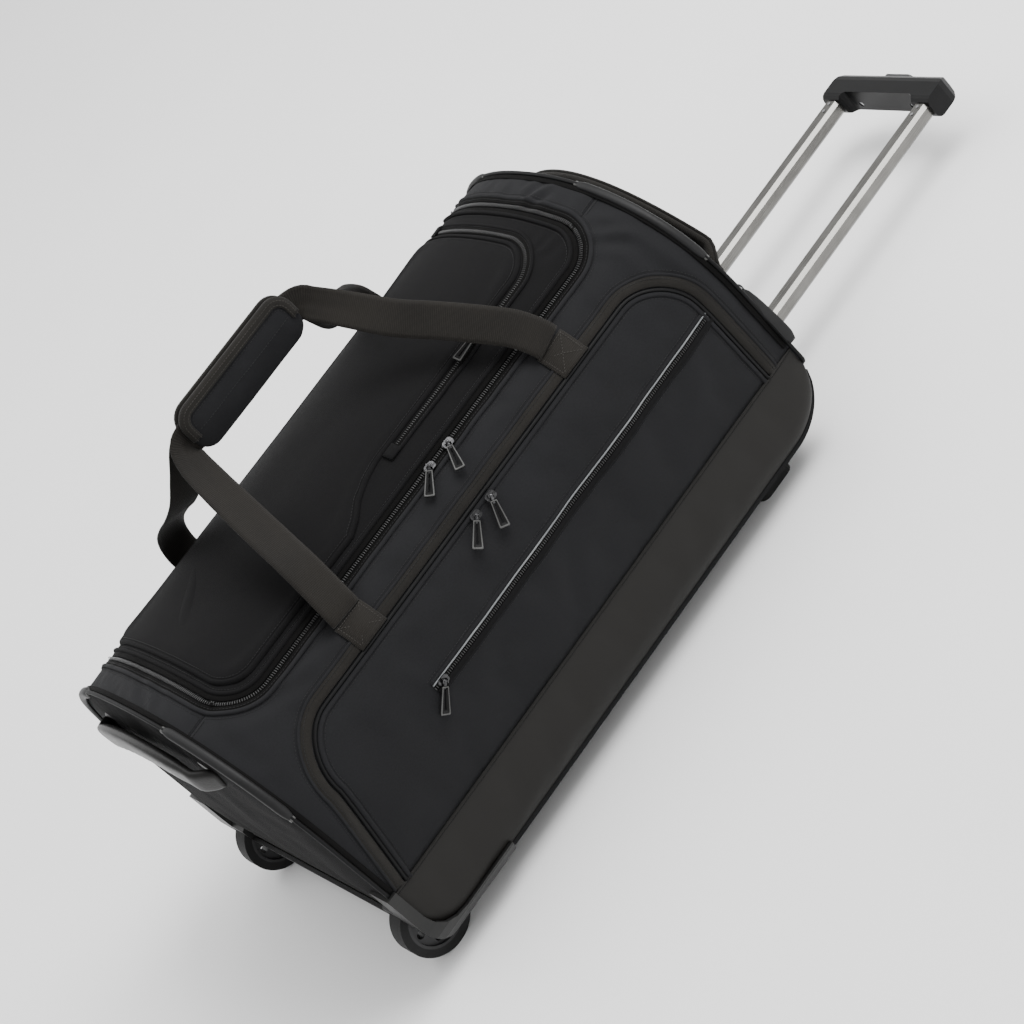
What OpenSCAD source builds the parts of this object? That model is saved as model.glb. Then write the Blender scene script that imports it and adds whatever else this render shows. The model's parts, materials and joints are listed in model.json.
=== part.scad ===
// Rolling duffel bag: soft arched body on two wheels, zipped lid, front pocket,
// carry straps and a telescopic handle. It lies on its wheels and feet.
// X runs along the bag from the wheel end to the handle end, the front faces -Y, +Z is up.
// The origin is on the floor, under the middle of the whole object with its handle out.

/* [Body] */
// Length of the body between its two end panels
body_length = 690; // [660:5:720]
// Width of the body where it is widest
body_width = 438; // [430:2:446]
// Height of the body's top above the floor
body_height = 368; // [362:1:374]
// Height of the underside above the floor
underside = 21; // [20:1:22]
// Thickness of the padded fabric walls
wall = 5; // [4:0.5:5.5]
// Height of the seam between the coated band and the pocket panel
band_top = 118; // [112:1:122]

/* [Lid] */
// Half of the lid's width across the bag
lid_half_w = 148; // [146:1:150]
// Distance from each end panel to the lid's zip
lid_end_gap = 47; // [45:1:50]
// Radius of the lid's front corners
lid_corner = 45; // [40:1:50]
// How far the lid pocket stands up from the lid
lid_pocket_h = 5.5; // [4:0.5:6]

/* [Front pocket] */
// Height of the pocket panel's top edge
pocket_top = 293; // [288:1:295]
// Radius of the pocket panel's top corners
pocket_corner = 58; // [50:1:62]
// Distance from the body's middle plane to the pocket's inner wall
pocket_lining_y = 168; // [164:1:172]

/* [Wheels] */
// Diameter of the wheels
wheel_d = 80; // [76:1:82]
// Width of the wheels
wheel_w = 22; // [20:1:24]
// Distance between the wheels' middle planes
wheel_track = 344; // [338:2:346]

/* [Trolley handle] */
// How far the handle slides in
handle_travel = 330; // [300:5:330]
// Distance between the two tubes
tube_pitch = 156; // [150:2:160]
// Width of each inner tube
tube_w = 21; // [20:0.5:21.5]
// Height of the tubes' middle above the floor
rail_z = 66; // [65:0.5:67]
// Length of the grip
grip_length = 186; // [184:2:200]

/* [Carry straps] */
// Width of the webbing
strap_w = 38; // [34:1:40]
// Thickness of the webbing
strap_t = 2.4; // [2:0.2:2.6]
// Length of the padded wrap
pad_length = 168; // [150:2:172]
// Height of the padded wrap
pad_h = 54; // [48:1:56]

/* [Hidden] */

fabric = "#2b2b30";
coated = "#3a3836";
webbing = "#3d3832";
black = "#1c1c1e";
metal = "#9a9a9c";
bright = "#b9bbbd";

gap = 0.4;              // clearance between neighbours that move apart
handle_reach = 406;     // from the body's handle-end panel to the button's face
end_reach = 22;         // from the body's wheel-end panel to the wheels' outermost edge
body_x = -(handle_reach - end_reach) / 2;
x_wheel = body_x - body_length / 2;
x_handle = body_x + body_length / 2;
half_w = body_width / 2;
shoulder = 202;         // height where the body is widest
rise = body_height - shoulder;
arch_n = 2.27;          // exponent of the arch: 2 is an ellipse, more is squarer
foot_r = 42;            // radius of the bottom edges
base_half = half_w - foot_r;
wheel_end_r = 50;       // radius of the lower corner at the wheel end
handle_end_r = 65;      // radius of the lower corner at the handle end
seam_y = 120;           // where the top strips meet the front and back panels
high = 420;             // above everything on the body
wide = half_w + 20;

// ---- outlines and surfaces of the body ----

function arc(centre, r, from, to, steps) =
    [for (i = [0:steps]) let (a = from + (to - from) * i / steps) centre + r * [cos(a), sin(a)]];

// Cross-section of the body, drawn inwards by off
function section(off) = concat(
    [for (a = [0:7.5:180])
        [sign(cos(a)) * (half_w - off) * pow(abs(cos(a)), 2 / arch_n),
         shoulder + (rise - off) * pow(sin(a), 2 / arch_n)]],
    arc([-base_half, underside + foot_r], foot_r - off, 180, 270, 6),
    arc([base_half, underside + foot_r], foot_r - off, 270, 360, 6));

// Outline of the body from the side, drawn inwards by off
function side_outline(off) = concat(
    [[x_wheel + off, high]],
    arc([x_wheel + wheel_end_r, underside + wheel_end_r], wheel_end_r - off, 180, 270, 6),
    arc([x_handle - handle_end_r, underside + handle_end_r], handle_end_r - off, 270, 360, 6),
    [[x_handle - off, high]]);

// Height and slope of the arch at a distance y from the middle plane
function arch_z(y) = shoulder + rise * pow(1 - pow(abs(y) / half_w, arch_n), 1 / arch_n);
function arch_slope(y) =
    atan(rise / half_w * pow(abs(y) / half_w / ((arch_z(y) - shoulder) / rise), arch_n - 1));
// Distance from the middle plane of the arch at a height z
function arch_y(z) = half_w * pow(1 - pow((z - shoulder) / rise, arch_n), 1 / arch_n);

// A rounded rectangle from low to high, with corner radius r
function rounded(low, top, r) = concat(
    arc([top[0] - r, top[1] - r], r, 0, 90, 4), arc([low[0] + r, top[1] - r], r, 90, 180, 4),
    arc([low[0] + r, low[1] + r], r, 180, 270, 4), arc([top[0] - r, low[1] + r], r, 270, 360, 4));

module along_x(points, x0, x1) {
    translate([x0, 0, 0]) rotate([90, 0, 90]) linear_extrude(x1 - x0) polygon(points);
}

module along_y(points, y0, y1) {
    translate([0, y1, 0]) rotate([90, 0, 0]) linear_extrude(y1 - y0) polygon(points);
}

module along_z(points, z0, z1) {
    translate([0, 0, z0]) linear_extrude(z1 - z0) polygon(points);
}

module block(low, top) {
    translate(low) cube(top - low);
}

module rod_x(centre, r, x0, x1) {
    translate([x0, centre[0], centre[1]]) rotate([0, 90, 0]) cylinder(r = r, h = x1 - x0, $fn = 32);
}

module rod_y(centre, r, y0, y1) {
    translate([centre[0], y1, centre[1]]) rotate([90, 0, 0]) cylinder(r = r, h = y1 - y0, $fn = 48);
}

// Both halves of something that is the same at the front and at the back
module front_and_back() {
    children();
    mirror([0, 1, 0]) children();
}

module body_solid(off) {
    intersection() {
        along_x(section(off), x_wheel + off, x_handle - off);
        along_y(side_outline(off), -wide, wide);
    }
}

// The arch between two depths, where a negative depth stands proud of the body
module wrap(out, inn, x0, x1) {
    difference() {
        along_x(section(out), x0, x1);
        along_x(section(inn), x0 - 1, x1 + 1);
    }
}

module walls() {
    difference() {
        body_solid(0);
        body_solid(wall);
    }
}

// ---- the lid's and the pocket's outlines ----

lid_x0 = x_wheel + lid_end_gap;
lid_x1 = x_handle - lid_end_gap;

function lid_outline(grow) = concat(
    [[lid_x1 + grow, lid_half_w + grow], [lid_x0 - grow, lid_half_w + grow]],
    arc([lid_x0 + lid_corner, -lid_half_w + lid_corner], lid_corner + grow, 180, 270, 5),
    arc([lid_x1 - lid_corner, -lid_half_w + lid_corner], lid_corner + grow, 270, 360, 5));

lid_pocket_x = body_x + 260;    // handle-end edge of the lid pocket
lid_pocket_y = -104;            // front edge of the lid pocket, where its zip is
lid_pocket_back = 132;

function lid_pocket_outline() = concat(
    [[lid_pocket_x, lid_pocket_back], [lid_x0 + 14, lid_pocket_back]],
    arc([lid_x0 + 50, -lid_half_w + 50], 36, 180, 270, 4),
    [[body_x - 90, -lid_half_w + 14], [body_x - 55, lid_pocket_y - 14],
     [body_x - 15, lid_pocket_y]],
    arc([lid_pocket_x - 45, lid_pocket_y + 45], 45, 270, 360, 4));

pocket_x0 = body_x - 298;       // wheel-end edge of the pocket panel near its top
pocket_x1 = body_x + 305;
pocket_lean = 24;               // how far the wheel-end edge leans out at the bottom
pocket_gap = 0.9;               // clearance round the pocket panel, which tips out past its leaning edge

function pocket_outline(grow, bottom) = concat(
    [[pocket_x1 + grow, bottom]],
    arc([pocket_x1 - pocket_corner, pocket_top - pocket_corner], pocket_corner + grow, 0, 90, 5),
    arc([pocket_x0 + pocket_corner, pocket_top - pocket_corner], pocket_corner + grow, 90, 180, 5),
    [[pocket_x0 - pocket_lean - grow, bottom]]);

// ---- wheels' places ----

wheel_r = wheel_d / 2;
wheel_x = x_wheel + 18;
wheel_y = wheel_track / 2;
well_r = wheel_r + 3;
housing_t = 3;
cheek = wheel_w / 2 + 3;        // from the wheel's middle plane to a cheek's inner face
axle_r = 4;
bearing_r = 11;
bearing_w = 7;

module well_cuts() {
    front_and_back() {
        rod_y([wheel_x, wheel_r], well_r + housing_t + 0.2,
            wheel_y - cheek - housing_t - 0.2, wheel_y + cheek + housing_t + 0.2);
        rod_y([wheel_x, wheel_r], 9, wheel_y - cheek - 7, wheel_y + cheek + 7);
    }
}

// ---- the trolley's places ----

tube_h = tube_w - 2;
tube_y = tube_pitch / 2;
rail_w = tube_w + 4;
rail_h = tube_h + 4;
rail_in = 1.2;                  // the rail's inside is this much larger than the tube
tube_x0 = x_handle - 65;        // inner end of the tubes, handle out
block_x0 = tube_x0 - 25;
rail_x0 = block_x0 - handle_travel - 6;
pin_x = tube_x0 - 13;
grip_x0 = x_handle + 361;
grip_x1 = x_handle + 404;
grip_z0 = rail_z - 15;
grip_z1 = rail_z + 15;
cover_x = grip_x0 + 18;         // where the grip's cover meets its shell
bar_x = grip_x0 + 25;           // the crossbar behind the button
cavity_x0 = grip_x0 + 14;       // the hollow inside the grip, where the tubes end
cavity_x1 = grip_x0 + 33;
wall_x = grip_x0 + 10;          // the bar's face between its two sleeves
rod_r = 1.5;

function tube_section(w, h, cut, y) = [for (p = [[1, 0], [0, 1], [-1, 0], [0, -1]])
    for (k = [-1, 1]) let (turn = p[0] == 0 ? -k * p[1] : k * p[0])
        p[0] == 0 ? [y + turn * (w / 2 - cut), rail_z + p[1] * h / 2]
                  : [y + p[0] * w / 2, rail_z + turn * (h / 2 - cut)]];

module rail_holes() {
    for (side = [-1, 1])
        along_x(tube_section(rail_w, rail_h, 4, side * tube_y), x_handle - 80, x_handle + 1);
}

// ---- body panels ----

module side_panel(side) {
    difference() {
        intersection() {
            wrap(0, wall, x_wheel + wall, x_handle - wall);
            if (side < 0) block([x_wheel, -wide, band_top], [x_handle, -seam_y, high]);
            else block([x_wheel, seam_y, band_top], [x_handle, wide, high]);
        }
        along_z(lid_outline(gap), shoulder, high);
        if (side < 0) along_y(pocket_outline(pocket_gap, band_top - 1), -wide, -pocket_lining_y);
    }
}

module front_panel() {
    color(fabric) side_panel(-1);
}

module back_panel() {
    color(fabric) side_panel(1);
}

module top_strips() {
    color(fabric) difference() {
        intersection() {
            wrap(0, wall, x_wheel + wall, x_handle - wall);
            block([x_wheel, -seam_y, shoulder], [x_handle, seam_y, high]);
        }
        along_z(lid_outline(gap), shoulder, high);
    }
}

module side_bands() {
    color(coated) difference() {
        intersection() {
            walls();
            union() {
                block([x_wheel + wall, -wide, 0], [x_handle - wall, -base_half, band_top]);
                block([x_wheel + wall, base_half, 0], [x_handle - wall, wide, band_top]);
            }
        }
        well_cuts();
    }
}

module base_panel() {
    color(coated) difference() {
        intersection() {
            walls();
            block([x_wheel + wall, -base_half, 0], [x_handle - wall, base_half, 100]);
        }
        well_cuts();
        rail_holes();
    }
}

module wheel_end_panel() {
    color(fabric) difference() {
        intersection() {
            body_solid(0);
            block([x_wheel - 1, -wide, 0], [x_wheel + wall, wide, high]);
        }
        well_cuts();
    }
}

module handle_end_panel() {
    color(fabric) difference() {
        intersection() {
            body_solid(0);
            block([x_handle - wall, -wide, 0], [x_handle + 1, wide, high]);
        }
        rail_holes();
    }
}

// ---- edging ----

piping_h = 3;
piping_w = 5;
guard_h = 5;
guard_w = 9;
guard_t = 4;
guard_y = 90;                   // upper end of each guard
guard_z = 256;                  // lower end of each guard
tray_top = 122;                 // the base tray's corners and the piping meet at this height

module guard_zone(grow) {
    front_and_back() block([x_wheel - 20, guard_y - grow, guard_z - grow],
        [x_handle + 20, wide, high]);
}

module end_piping() {
    color(black) difference() {
        union() {
            wrap(-piping_h, 0, x_wheel, x_wheel + piping_w);
            wrap(-piping_h, 0, x_handle - piping_w, x_handle);
        }
        guard_zone(0);
        block([x_wheel - 1, -wide, 0], [x_handle + 1, wide, tray_top]);
    }
}

module guard_ring(side) {
    x_edge = side < 0 ? x_wheel : x_handle;
    x_in = x_edge - side * guard_w;
    x_out = x_edge + side * guard_t;
    difference() {
        along_x(section(-guard_h), min(x_in, x_out), max(x_in, x_out));
        along_x(section(0), side < 0 ? x_edge : x_in - 1, side < 0 ? x_in + 1 : x_edge);
        along_x(section(guard_w), x_edge - 20, x_edge + 20);
    }
}

module corner_guards() {
    color("#4a4a4c") intersection() {
        union() {
            guard_ring(-1);
            guard_ring(1);
        }
        guard_zone(0);
    }
}

// ---- zips ----

coil_w = 5;
coil_h = 2;
tape_w = 12;
tape_h = 1;
zip_back = 128;                 // the lid's zip ends this far behind the middle plane

module lid_ring(h, from, to) {
    intersection() {
        wrap(-h, 0, x_wheel + 20, x_handle - 20);
        difference() {
            along_z(lid_outline(to), shoulder, high);
            along_z(lid_outline(from), shoulder - 1, high + 1);
        }
        block([x_wheel, -wide, 0], [x_handle, zip_back, high]);
    }
}

module pocket_ring(h, from, to) {
    intersection() {
        wrap(-h, 0, x_wheel + 8, x_handle - 8);
        difference() {
            along_y(pocket_outline(to, band_top), -wide, -pocket_lining_y);
            along_y(pocket_outline(from, band_top - 1), -wide - 1, 0);
        }
    }
}

module body_zips() {
    color(black) {
        lid_ring(coil_h, gap, gap + coil_w);
        lid_ring(tape_h, gap + coil_w, gap + coil_w + tape_w);
        pocket_ring(tape_h, pocket_gap, pocket_gap + tape_w);
    }
}

// ---- inside the body ----

board_z = underside + wall + 0.2;
board_t = 3;
board_half = base_half - 1;
cover_top = 85;
cover_half = 100;
cover_t = 2.5;

module pocket_lining() {
    color("#55555a") intersection() {
        body_solid(wall);
        block([x_wheel, -pocket_lining_y - 2, board_z + board_t], [x_handle, -pocket_lining_y, high]);
        difference() {
            block([x_wheel, -wide, 0], [x_handle, wide, high]);
            well_cuts();
        }
    }
}

module base_board() {
    color("#262628") block([wheel_x + 52, -board_half, board_z],
        [x_handle - handle_end_r - 2, board_half, board_z + board_t]);
}

module rails() {
    color(metal) difference() {
        for (side = [-1, 1])
            along_x(tube_section(rail_w, rail_h, 4, side * tube_y), rail_x0, x_handle);
        for (side = [-1, 1]) {
            along_x(tube_section(tube_w + rail_in, tube_h + rail_in, 4, side * tube_y),
                rail_x0 - 1, x_handle + 1);
            block([rail_x0 + 5, side * tube_y - 4.6, rail_z + 6],
                [x_handle - 60, side * tube_y + 4.6, rail_z + 14]);
        }
    }
}

module rail_brackets() {
    color("#262628") difference() {
        union() {
            block([rail_x0 - 15, -95, board_z + board_t], [rail_x0, 95, rail_z + 16]);
            block([x_handle - 100, -95, board_z + board_t], [x_handle - 85, 95, rail_z + 16]);
        }
        for (side = [-1, 1])
            along_x(tube_section(rail_w, rail_h, 4, side * tube_y), rail_x0, x_handle);
        block([rail_x0 - 20, -50, 40], [x_handle, 50, 74]);
    }
}

module rail_cover() {
    color("#55555a") difference() {
        intersection() {
            body_solid(wall + 0.2);
            block([rail_x0 - 20, -cover_half, board_z + board_t], [x_handle, cover_half, cover_top]);
        }
        block([rail_x0 - 21, -cover_half + cover_t, 0],
            [x_handle, cover_half - cover_t, cover_top - cover_t]);
    }
}

// ---- base, wheels and feet ----

tray_t = 4.5;
tray_length = 120;
tray_rim = 22;                  // height of the tray's rim up the sides
tray_lip = 8;                   // how far the tray wraps from the end panel onto the sides

module base_tray() {
    color(black) difference() {
        intersection() {
            body_solid(-tray_t);
            block([x_wheel - 10, -wide, 0], [x_wheel + tray_length, wide, tray_top]);
        }
        body_solid(0);
        along_y(rounded([x_wheel + tray_lip, underside + tray_rim], [x_handle, high], 36), -wide, wide);
        along_x(rounded([-half_w + 34, underside + 2 * tray_rim], [half_w - 34, high], 30),
            x_wheel - 10, x_wheel + tray_lip + 1);
        well_cuts();
    }
}

module wheel_housings() {
    color(black) front_and_back() difference() {
        intersection() {
            body_solid(-tray_t);
            rod_y([wheel_x, wheel_r], well_r + housing_t,
                wheel_y - cheek - housing_t, wheel_y + cheek + housing_t);
        }
        rod_y([wheel_x, wheel_r], well_r, wheel_y - cheek, wheel_y + cheek);
        rod_y([wheel_x, wheel_r], axle_r, wheel_y - 30, wheel_y + 30);
    }
}

module axles() {
    color(bright) front_and_back() {
        rod_y([wheel_x, wheel_r], axle_r, wheel_y - cheek - housing_t, wheel_y + cheek + housing_t);
        rod_y([wheel_x, wheel_r], 7, wheel_y + cheek + housing_t, wheel_y + cheek + housing_t + 2.5);
        rod_y([wheel_x, wheel_r], 7, wheel_y - cheek - housing_t - 2.5, wheel_y - cheek - housing_t);
    }
}

foot_x0 = x_handle - 120;
foot_x1 = x_handle - 70;
skid_y = 105;

module feet_and_skids() {
    color(black) front_and_back() {
        along_z(rounded([foot_x0, 138], [foot_x1, 174], 10), 0, underside);
        along_z(rounded([x_wheel + tray_length + 6, skid_y - 7], [x_handle - 80, skid_y + 7], 6),
            underside - 8, underside);
    }
}

module tyre(side) {
    color("#202022") difference() {
        rod_y([wheel_x, wheel_r], wheel_r, side * wheel_y - wheel_w / 2, side * wheel_y + wheel_w / 2);
        rod_y([wheel_x, wheel_r], wheel_r - 9, side * wheel_y - wheel_w, side * wheel_y + wheel_w);
    }
}

module hub(side) {
    recess = 4;
    middle = side * wheel_y;
    face = wheel_w / 2;
    centre = [wheel_x, wheel_r];
    color("#5a5a5d") difference() {
        rod_y(centre, wheel_r - 9, middle - face, middle + face);
        rod_y(centre, bearing_r, middle + face - bearing_w, middle + wheel_w);
        rod_y(centre, bearing_r, middle - wheel_w, middle - face + bearing_w);
        rod_y(centre, bearing_r - 3, middle - wheel_w, middle + wheel_w);
        for (way = [-1, 1]) difference() {
            rod_y(centre, wheel_r - 12, middle + way * face - recess, middle + way * face + recess);
            rod_y(centre, bearing_r + 3, middle - wheel_w, middle + wheel_w);
        }
        for (a = [0:60:300])
            rod_y(centre + 21 * [cos(a), sin(a)], 4.5, middle - wheel_w, middle + wheel_w);
    }
}

module bearings(side) {
    color(bright) for (face = [-1, 1]) difference() {
        y_mid = side * wheel_y + face * (wheel_w - bearing_w) / 2;
        rod_y([wheel_x, wheel_r], bearing_r, y_mid - bearing_w / 2, y_mid + bearing_w / 2);
        rod_y([wheel_x, wheel_r], axle_r + 0.05, y_mid - bearing_w, y_mid + bearing_w);
    }
}

module front_tyre() {
    tyre(-1);
}

module front_hub() {
    hub(-1);
}

module front_bearings() {
    bearings(-1);
}

module back_tyre() {
    tyre(1);
}

module back_hub() {
    hub(1);
}

module back_bearings() {
    bearings(1);
}

// ---- handles fixed to the ends ----

grab_t = 10;
wheel_grab = [12, 125, 28];     // finger gap, half length and drop from the middle to each foot
handle_grab = [20, 165, 85];

function grab_z(y, grab) = 321 - grab[2] * pow(y / grab[1], 2);

// An arched strap that stands off an end panel and meets it at two feet
module grab_handle(x_face, side, height, grab) {
    x_in = x_face + side * grab[0];
    x_out = x_face + side * (grab[0] + grab_t);
    half = grab[1];
    arch_line = [for (k = [-5:5]) [k * half / 5, grab_z(k * half / 5, grab)]];
    band = concat([for (p = arch_line) p + [0, height / 2]],
        [for (i = [len(arch_line) - 1:-1:0]) arch_line[i] - [0, height / 2]]);
    along_x(band, min(x_in, x_out), max(x_in, x_out));
    intersection() {
        along_x(band, min(x_face, x_in), max(x_face, x_in));
        front_and_back() block([x_face - 40, half - 30, 200], [x_face + 40, half, high]);
    }
}

module wheel_end_grab_handle() {
    color(black) grab_handle(x_wheel, -1, 34, wheel_grab);
}

module handle_end_grab_handle() {
    color(fabric) grab_handle(x_handle, 1, 36, handle_grab);
}

// ---- fasteners on the body ----

module fixed_fasteners() {
    color(bright) {
        for (y = [-1, 1], k = [8, 22]) {
            rod_x([y * (handle_grab[1] - k), grab_z(handle_grab[1] - k, handle_grab)], 3,
                x_handle + handle_grab[0] + grab_t, x_handle + handle_grab[0] + grab_t + 1.5);
            rod_x([y * 99, rail_z - 16 + k], 3, x_handle + 7, x_handle + 8.5);
        }
        for (x = [x_wheel + 60, x_wheel + 105], y = [-130, 0, 130])
            translate([x, y, underside - tray_t - 1.5]) cylinder(r = 4, h = 1.5, $fn = 32);
    }
}

module handle_bezel() {
    color(black) difference() {
        along_x(rounded([-112, rail_z - 21], [112, rail_z + 21], 12), x_handle - 16, x_handle + 7);
        body_solid(0);
        rail_holes();
        for (side = [-1, 1])
            along_x(tube_section(tube_w + 0.6, tube_h + 0.6, 4, side * tube_y),
                x_handle - 20, x_handle + 8);
    }
}

// ---- carry straps ----

anchor_y = 175.4;               // the straps fold at this line, just above their tabs
anchor_z = 319;
tab_x = [body_x - 158, body_x + 176];

module strap_tabs() {
    color(webbing) difference() {
        front_and_back() intersection() {
            wrap(-strap_t, 0, body_x - 200, body_x + 220);
            for (x = tab_x) block([x - strap_w / 2, 173, 270], [x + strap_w / 2, 188, 330]);
        }
        pocket_ring(tape_h, pocket_gap, pocket_gap + tape_w);
    }
}

function unit(v) = v / norm(v);

// A flat band swept along a path, whose width stays square to Y
function band_ring(path, i) =
    let (n = len(path),
         t = unit(path[min(i + 1, n - 1)] - path[max(i - 1, 0)]),
         w = unit(cross([0, 1, 0], t)),
         u = cross(t, w))
    [for (k = [[-1, -1], [1, -1], [1, 1], [-1, 1]])
        path[i] + w * k[0] * strap_w / 2 + u * k[1] * strap_t / 2];

module band(path) {
    n = len(path);
    points = [for (i = [0:n - 1]) each band_ring(path, i)];
    sides = [for (i = [0:n - 2], k = [0:3]) let (a = 4 * i + k, b = 4 * i + (k + 1) % 4)
        each [[a, b, b + 4], [a, b + 4, a + 4]]];
    polyhedron(points, concat([[3, 2, 1, 0]], sides,
        [[4 * n - 4, 4 * n - 3, 4 * n - 2, 4 * n - 1]]));
}

pad_x0 = body_x - 15 - pad_length / 2;
pad_x1 = body_x - 15 + pad_length / 2;
pad_z = 483;
web_y = 0.3 + strap_t / 2;      // the two webbings lie side by side in the wrap
pad_y0 = web_y + strap_t / 2 + 0.1;
pad_y1 = pad_y0 + 6;

// The front strap from the wheel end's tab, through the wrap, to the handle end's tab
front_path = [[body_x - 158, -anchor_y, anchor_z + 2], [body_x - 157, -174, 334],
    [body_x - 153, -162, 355], [body_x - 148, -144, 378], [body_x - 141, -112, 402],
    [body_x - 133, -76, 429], [body_x - 125, -42, 453], [body_x - 117, -15, 472],
    [body_x - 107, -web_y, 482], [body_x - 90, -web_y, pad_z], [body_x - 60, -web_y, pad_z],
    [body_x + 30, -web_y, pad_z], [body_x + 62, -web_y, pad_z], [body_x + 77, -web_y, 479],
    [body_x + 87, -12, 466], [body_x + 99, -38, 446], [body_x + 114, -74, 421],
    [body_x + 132, -110, 400], [body_x + 150, -142, 377], [body_x + 165, -162, 355],
    [body_x + 173, -174, 334], [body_x + 176, -anchor_y, anchor_z + 2]];

// The back strap is slacker and rests lower over the lid
back_path = [[body_x - 158, anchor_y, anchor_z + 2], [body_x - 158, 174, 334],
    [body_x - 156, 166, 353], [body_x - 153, 148, 371], [body_x - 149, 118, 388],
    [body_x - 144, 84, 404], [body_x - 136, 50, 425], [body_x - 124, 20, 454],
    [body_x - 109, web_y, 479], [body_x - 90, web_y, pad_z], [body_x - 60, web_y, pad_z],
    [body_x + 30, web_y, pad_z], [body_x + 62, web_y, pad_z], [body_x + 80, web_y, 477],
    [body_x + 92, 18, 453], [body_x + 104, 44, 429], [body_x + 118, 76, 409],
    [body_x + 135, 110, 391], [body_x + 152, 142, 373], [body_x + 166, 163, 353],
    [body_x + 173, 174, 334], [body_x + 176, anchor_y, anchor_z + 2]];

module front_loop() {
    color(webbing) band(front_path);
}

module back_loop() {
    color(webbing) band(back_path);
}

module grip_pad(y0, y1) {
    color(fabric) along_y(rounded([pad_x0, pad_z - pad_h / 2], [pad_x1, pad_z + pad_h / 2], 20),
        y0, y1);
}

module front_grip_pad() {
    grip_pad(-pad_y1, -pad_y0);
}

module back_grip_pad() {
    grip_pad(pad_y0, pad_y1);
}

// ---- trolley handle ----

module inner_tubes() {
    color(metal) difference() {
        for (side = [-1, 1])
            along_x(tube_section(tube_w, tube_h, 4, side * tube_y), tube_x0, cavity_x0);
        for (side = [-1, 1])
            along_x(tube_section(tube_w - 2.6, tube_h - 2.6, 3.4, side * tube_y),
                tube_x0 - 1, cavity_x0 + 1);
    }
}

module slide_blocks() {
    color(black) difference() {
        for (side = [-1, 1]) {
            along_x(tube_section(tube_w + 0.6, tube_h + 0.6, 4, side * tube_y), block_x0, tube_x0);
            along_x(tube_section(tube_w - 3, tube_h - 3, 3.4, side * tube_y), tube_x0, tube_x0 + 15);
        }
        for (side = [-1, 1]) {
            rod_x([side * tube_y, rail_z], rod_r + 0.4, block_x0 - 1, tube_x0 + 16);
            translate([pin_x, side * tube_y, rail_z - 9]) cylinder(r = 4.08, h = 30, $fn = 48);
        }
    }
}

module lock_pins() {
    color(bright) for (side = [-1, 1]) difference() {
        translate([pin_x, side * tube_y, rail_z - 5]) cylinder(r = 4, h = 17, $fn = 48);
        block([pin_x - 6, side * tube_y - 2, rail_z - 3], [pin_x + 6, side * tube_y + 2, rail_z + 6]);
    }
}

module grip_body() {
    intersection() {
        along_y(concat(arc([grip_x1 - 15, rail_z], 15, -90, 90, 8),
            arc([grip_x0 + 8, grip_z1 - 8], 8, 90, 180, 3),
            arc([grip_x0 + 8, grip_z0 + 8], 8, 180, 270, 3)),
            -grip_length / 2, grip_length / 2);
        along_z(rounded([grip_x0 - 30, -grip_length / 2], [grip_x1, grip_length / 2], 18),
            grip_z0 - 1, grip_z1 + 1);
    }
}

module grip_cuts() {
    for (side = [-1, 1])
        along_x(tube_section(tube_w, tube_h, 4, side * tube_y), grip_x0 - 1, cavity_x0);
    block([cavity_x0, -84, rail_z - 8], [cavity_x1, 84, rail_z + 8]);
    along_x(rounded([-24.4, rail_z - 7.4], [24.4, rail_z + 7.4], 6), cavity_x1 - 3, grip_x1 + 5);
    along_z(rounded([grip_x0 - 30, -64], [wall_x, 64], 9), grip_z0 - 1, grip_z1 + 1);
}

module grip_shell() {
    color(black) difference() {
        grip_body();
        grip_cuts();
        block([grip_x0 - 1, -grip_length, 0], [cover_x, grip_length, high]);
    }
}

module grip_cover() {
    color("#2a2a2c") difference() {
        intersection() {
            grip_body();
            block([grip_x0 - 1, -grip_length, 0], [cover_x, grip_length, high]);
        }
        grip_cuts();
        for (y = [-45, 45]) rod_x([y, rail_z - 6], 3.5, wall_x - 1, wall_x + 2.5);
    }
}

module handle_fasteners() {
    color(bright) {
        for (y = [-45, 45]) rod_x([y, rail_z - 6], 3.5, wall_x + 1, wall_x + 2.5);
        for (side = [-1, 1], k = [0, 11]) translate([grip_x0 - 4 - k, side * tube_y, rail_z + tube_h / 2])
            cylinder(r = 2, h = 0.8, $fn = 32);
    }
}

module release_button() {
    color("#3a3a3d") {
        along_x(rounded([-24, rail_z - 7], [24, rail_z + 7], 6), bar_x + 4, x_handle + handle_reach);
        block([bar_x, -82, rail_z - 5], [bar_x + 4, 82, rail_z + 5]);
    }
}

module push_rods() {
    color(bright) for (side = [-1, 1])
        rod_x([side * tube_y, rail_z], rod_r, pin_x + 1, bar_x);
}

module button_springs() {
    color(bright) for (side = [-1, 1]) difference() {
        rod_x([side * 40, rail_z], 4, cavity_x0, bar_x);
        rod_x([side * 40, rail_z], 3, cavity_x0 - 1, bar_x + 1);
    }
}

// ---- lid ----

module lid_panel() {
    color(fabric) intersection() {
        wrap(0, wall, lid_x0, lid_x1);
        along_z(lid_outline(0), shoulder, high);
    }
}

module lid_pocket_panel() {
    color(fabric) intersection() {
        wrap(-lid_pocket_h, 0, lid_x0, lid_x1);
        along_z(lid_pocket_outline(), shoulder, high);
    }
}

module lid_zips() {
    color(black) {
        lid_ring(tape_h, -tape_w, 0);
        intersection() {
            wrap(-coil_h, 0, body_x, lid_pocket_x);
            block([body_x + 9, lid_pocket_y - 9, shoulder], [lid_pocket_x - 45, lid_pocket_y - 0.2, high]);
        }
    }
}

// ---- front pocket ----

module pocket_panel() {
    color(fabric) intersection() {
        wrap(0, 4, x_wheel + wall, x_handle - wall);
        along_y(pocket_outline(0, band_top + gap), -wide, -pocket_lining_y);
    }
}

strip_z = 219;

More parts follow.
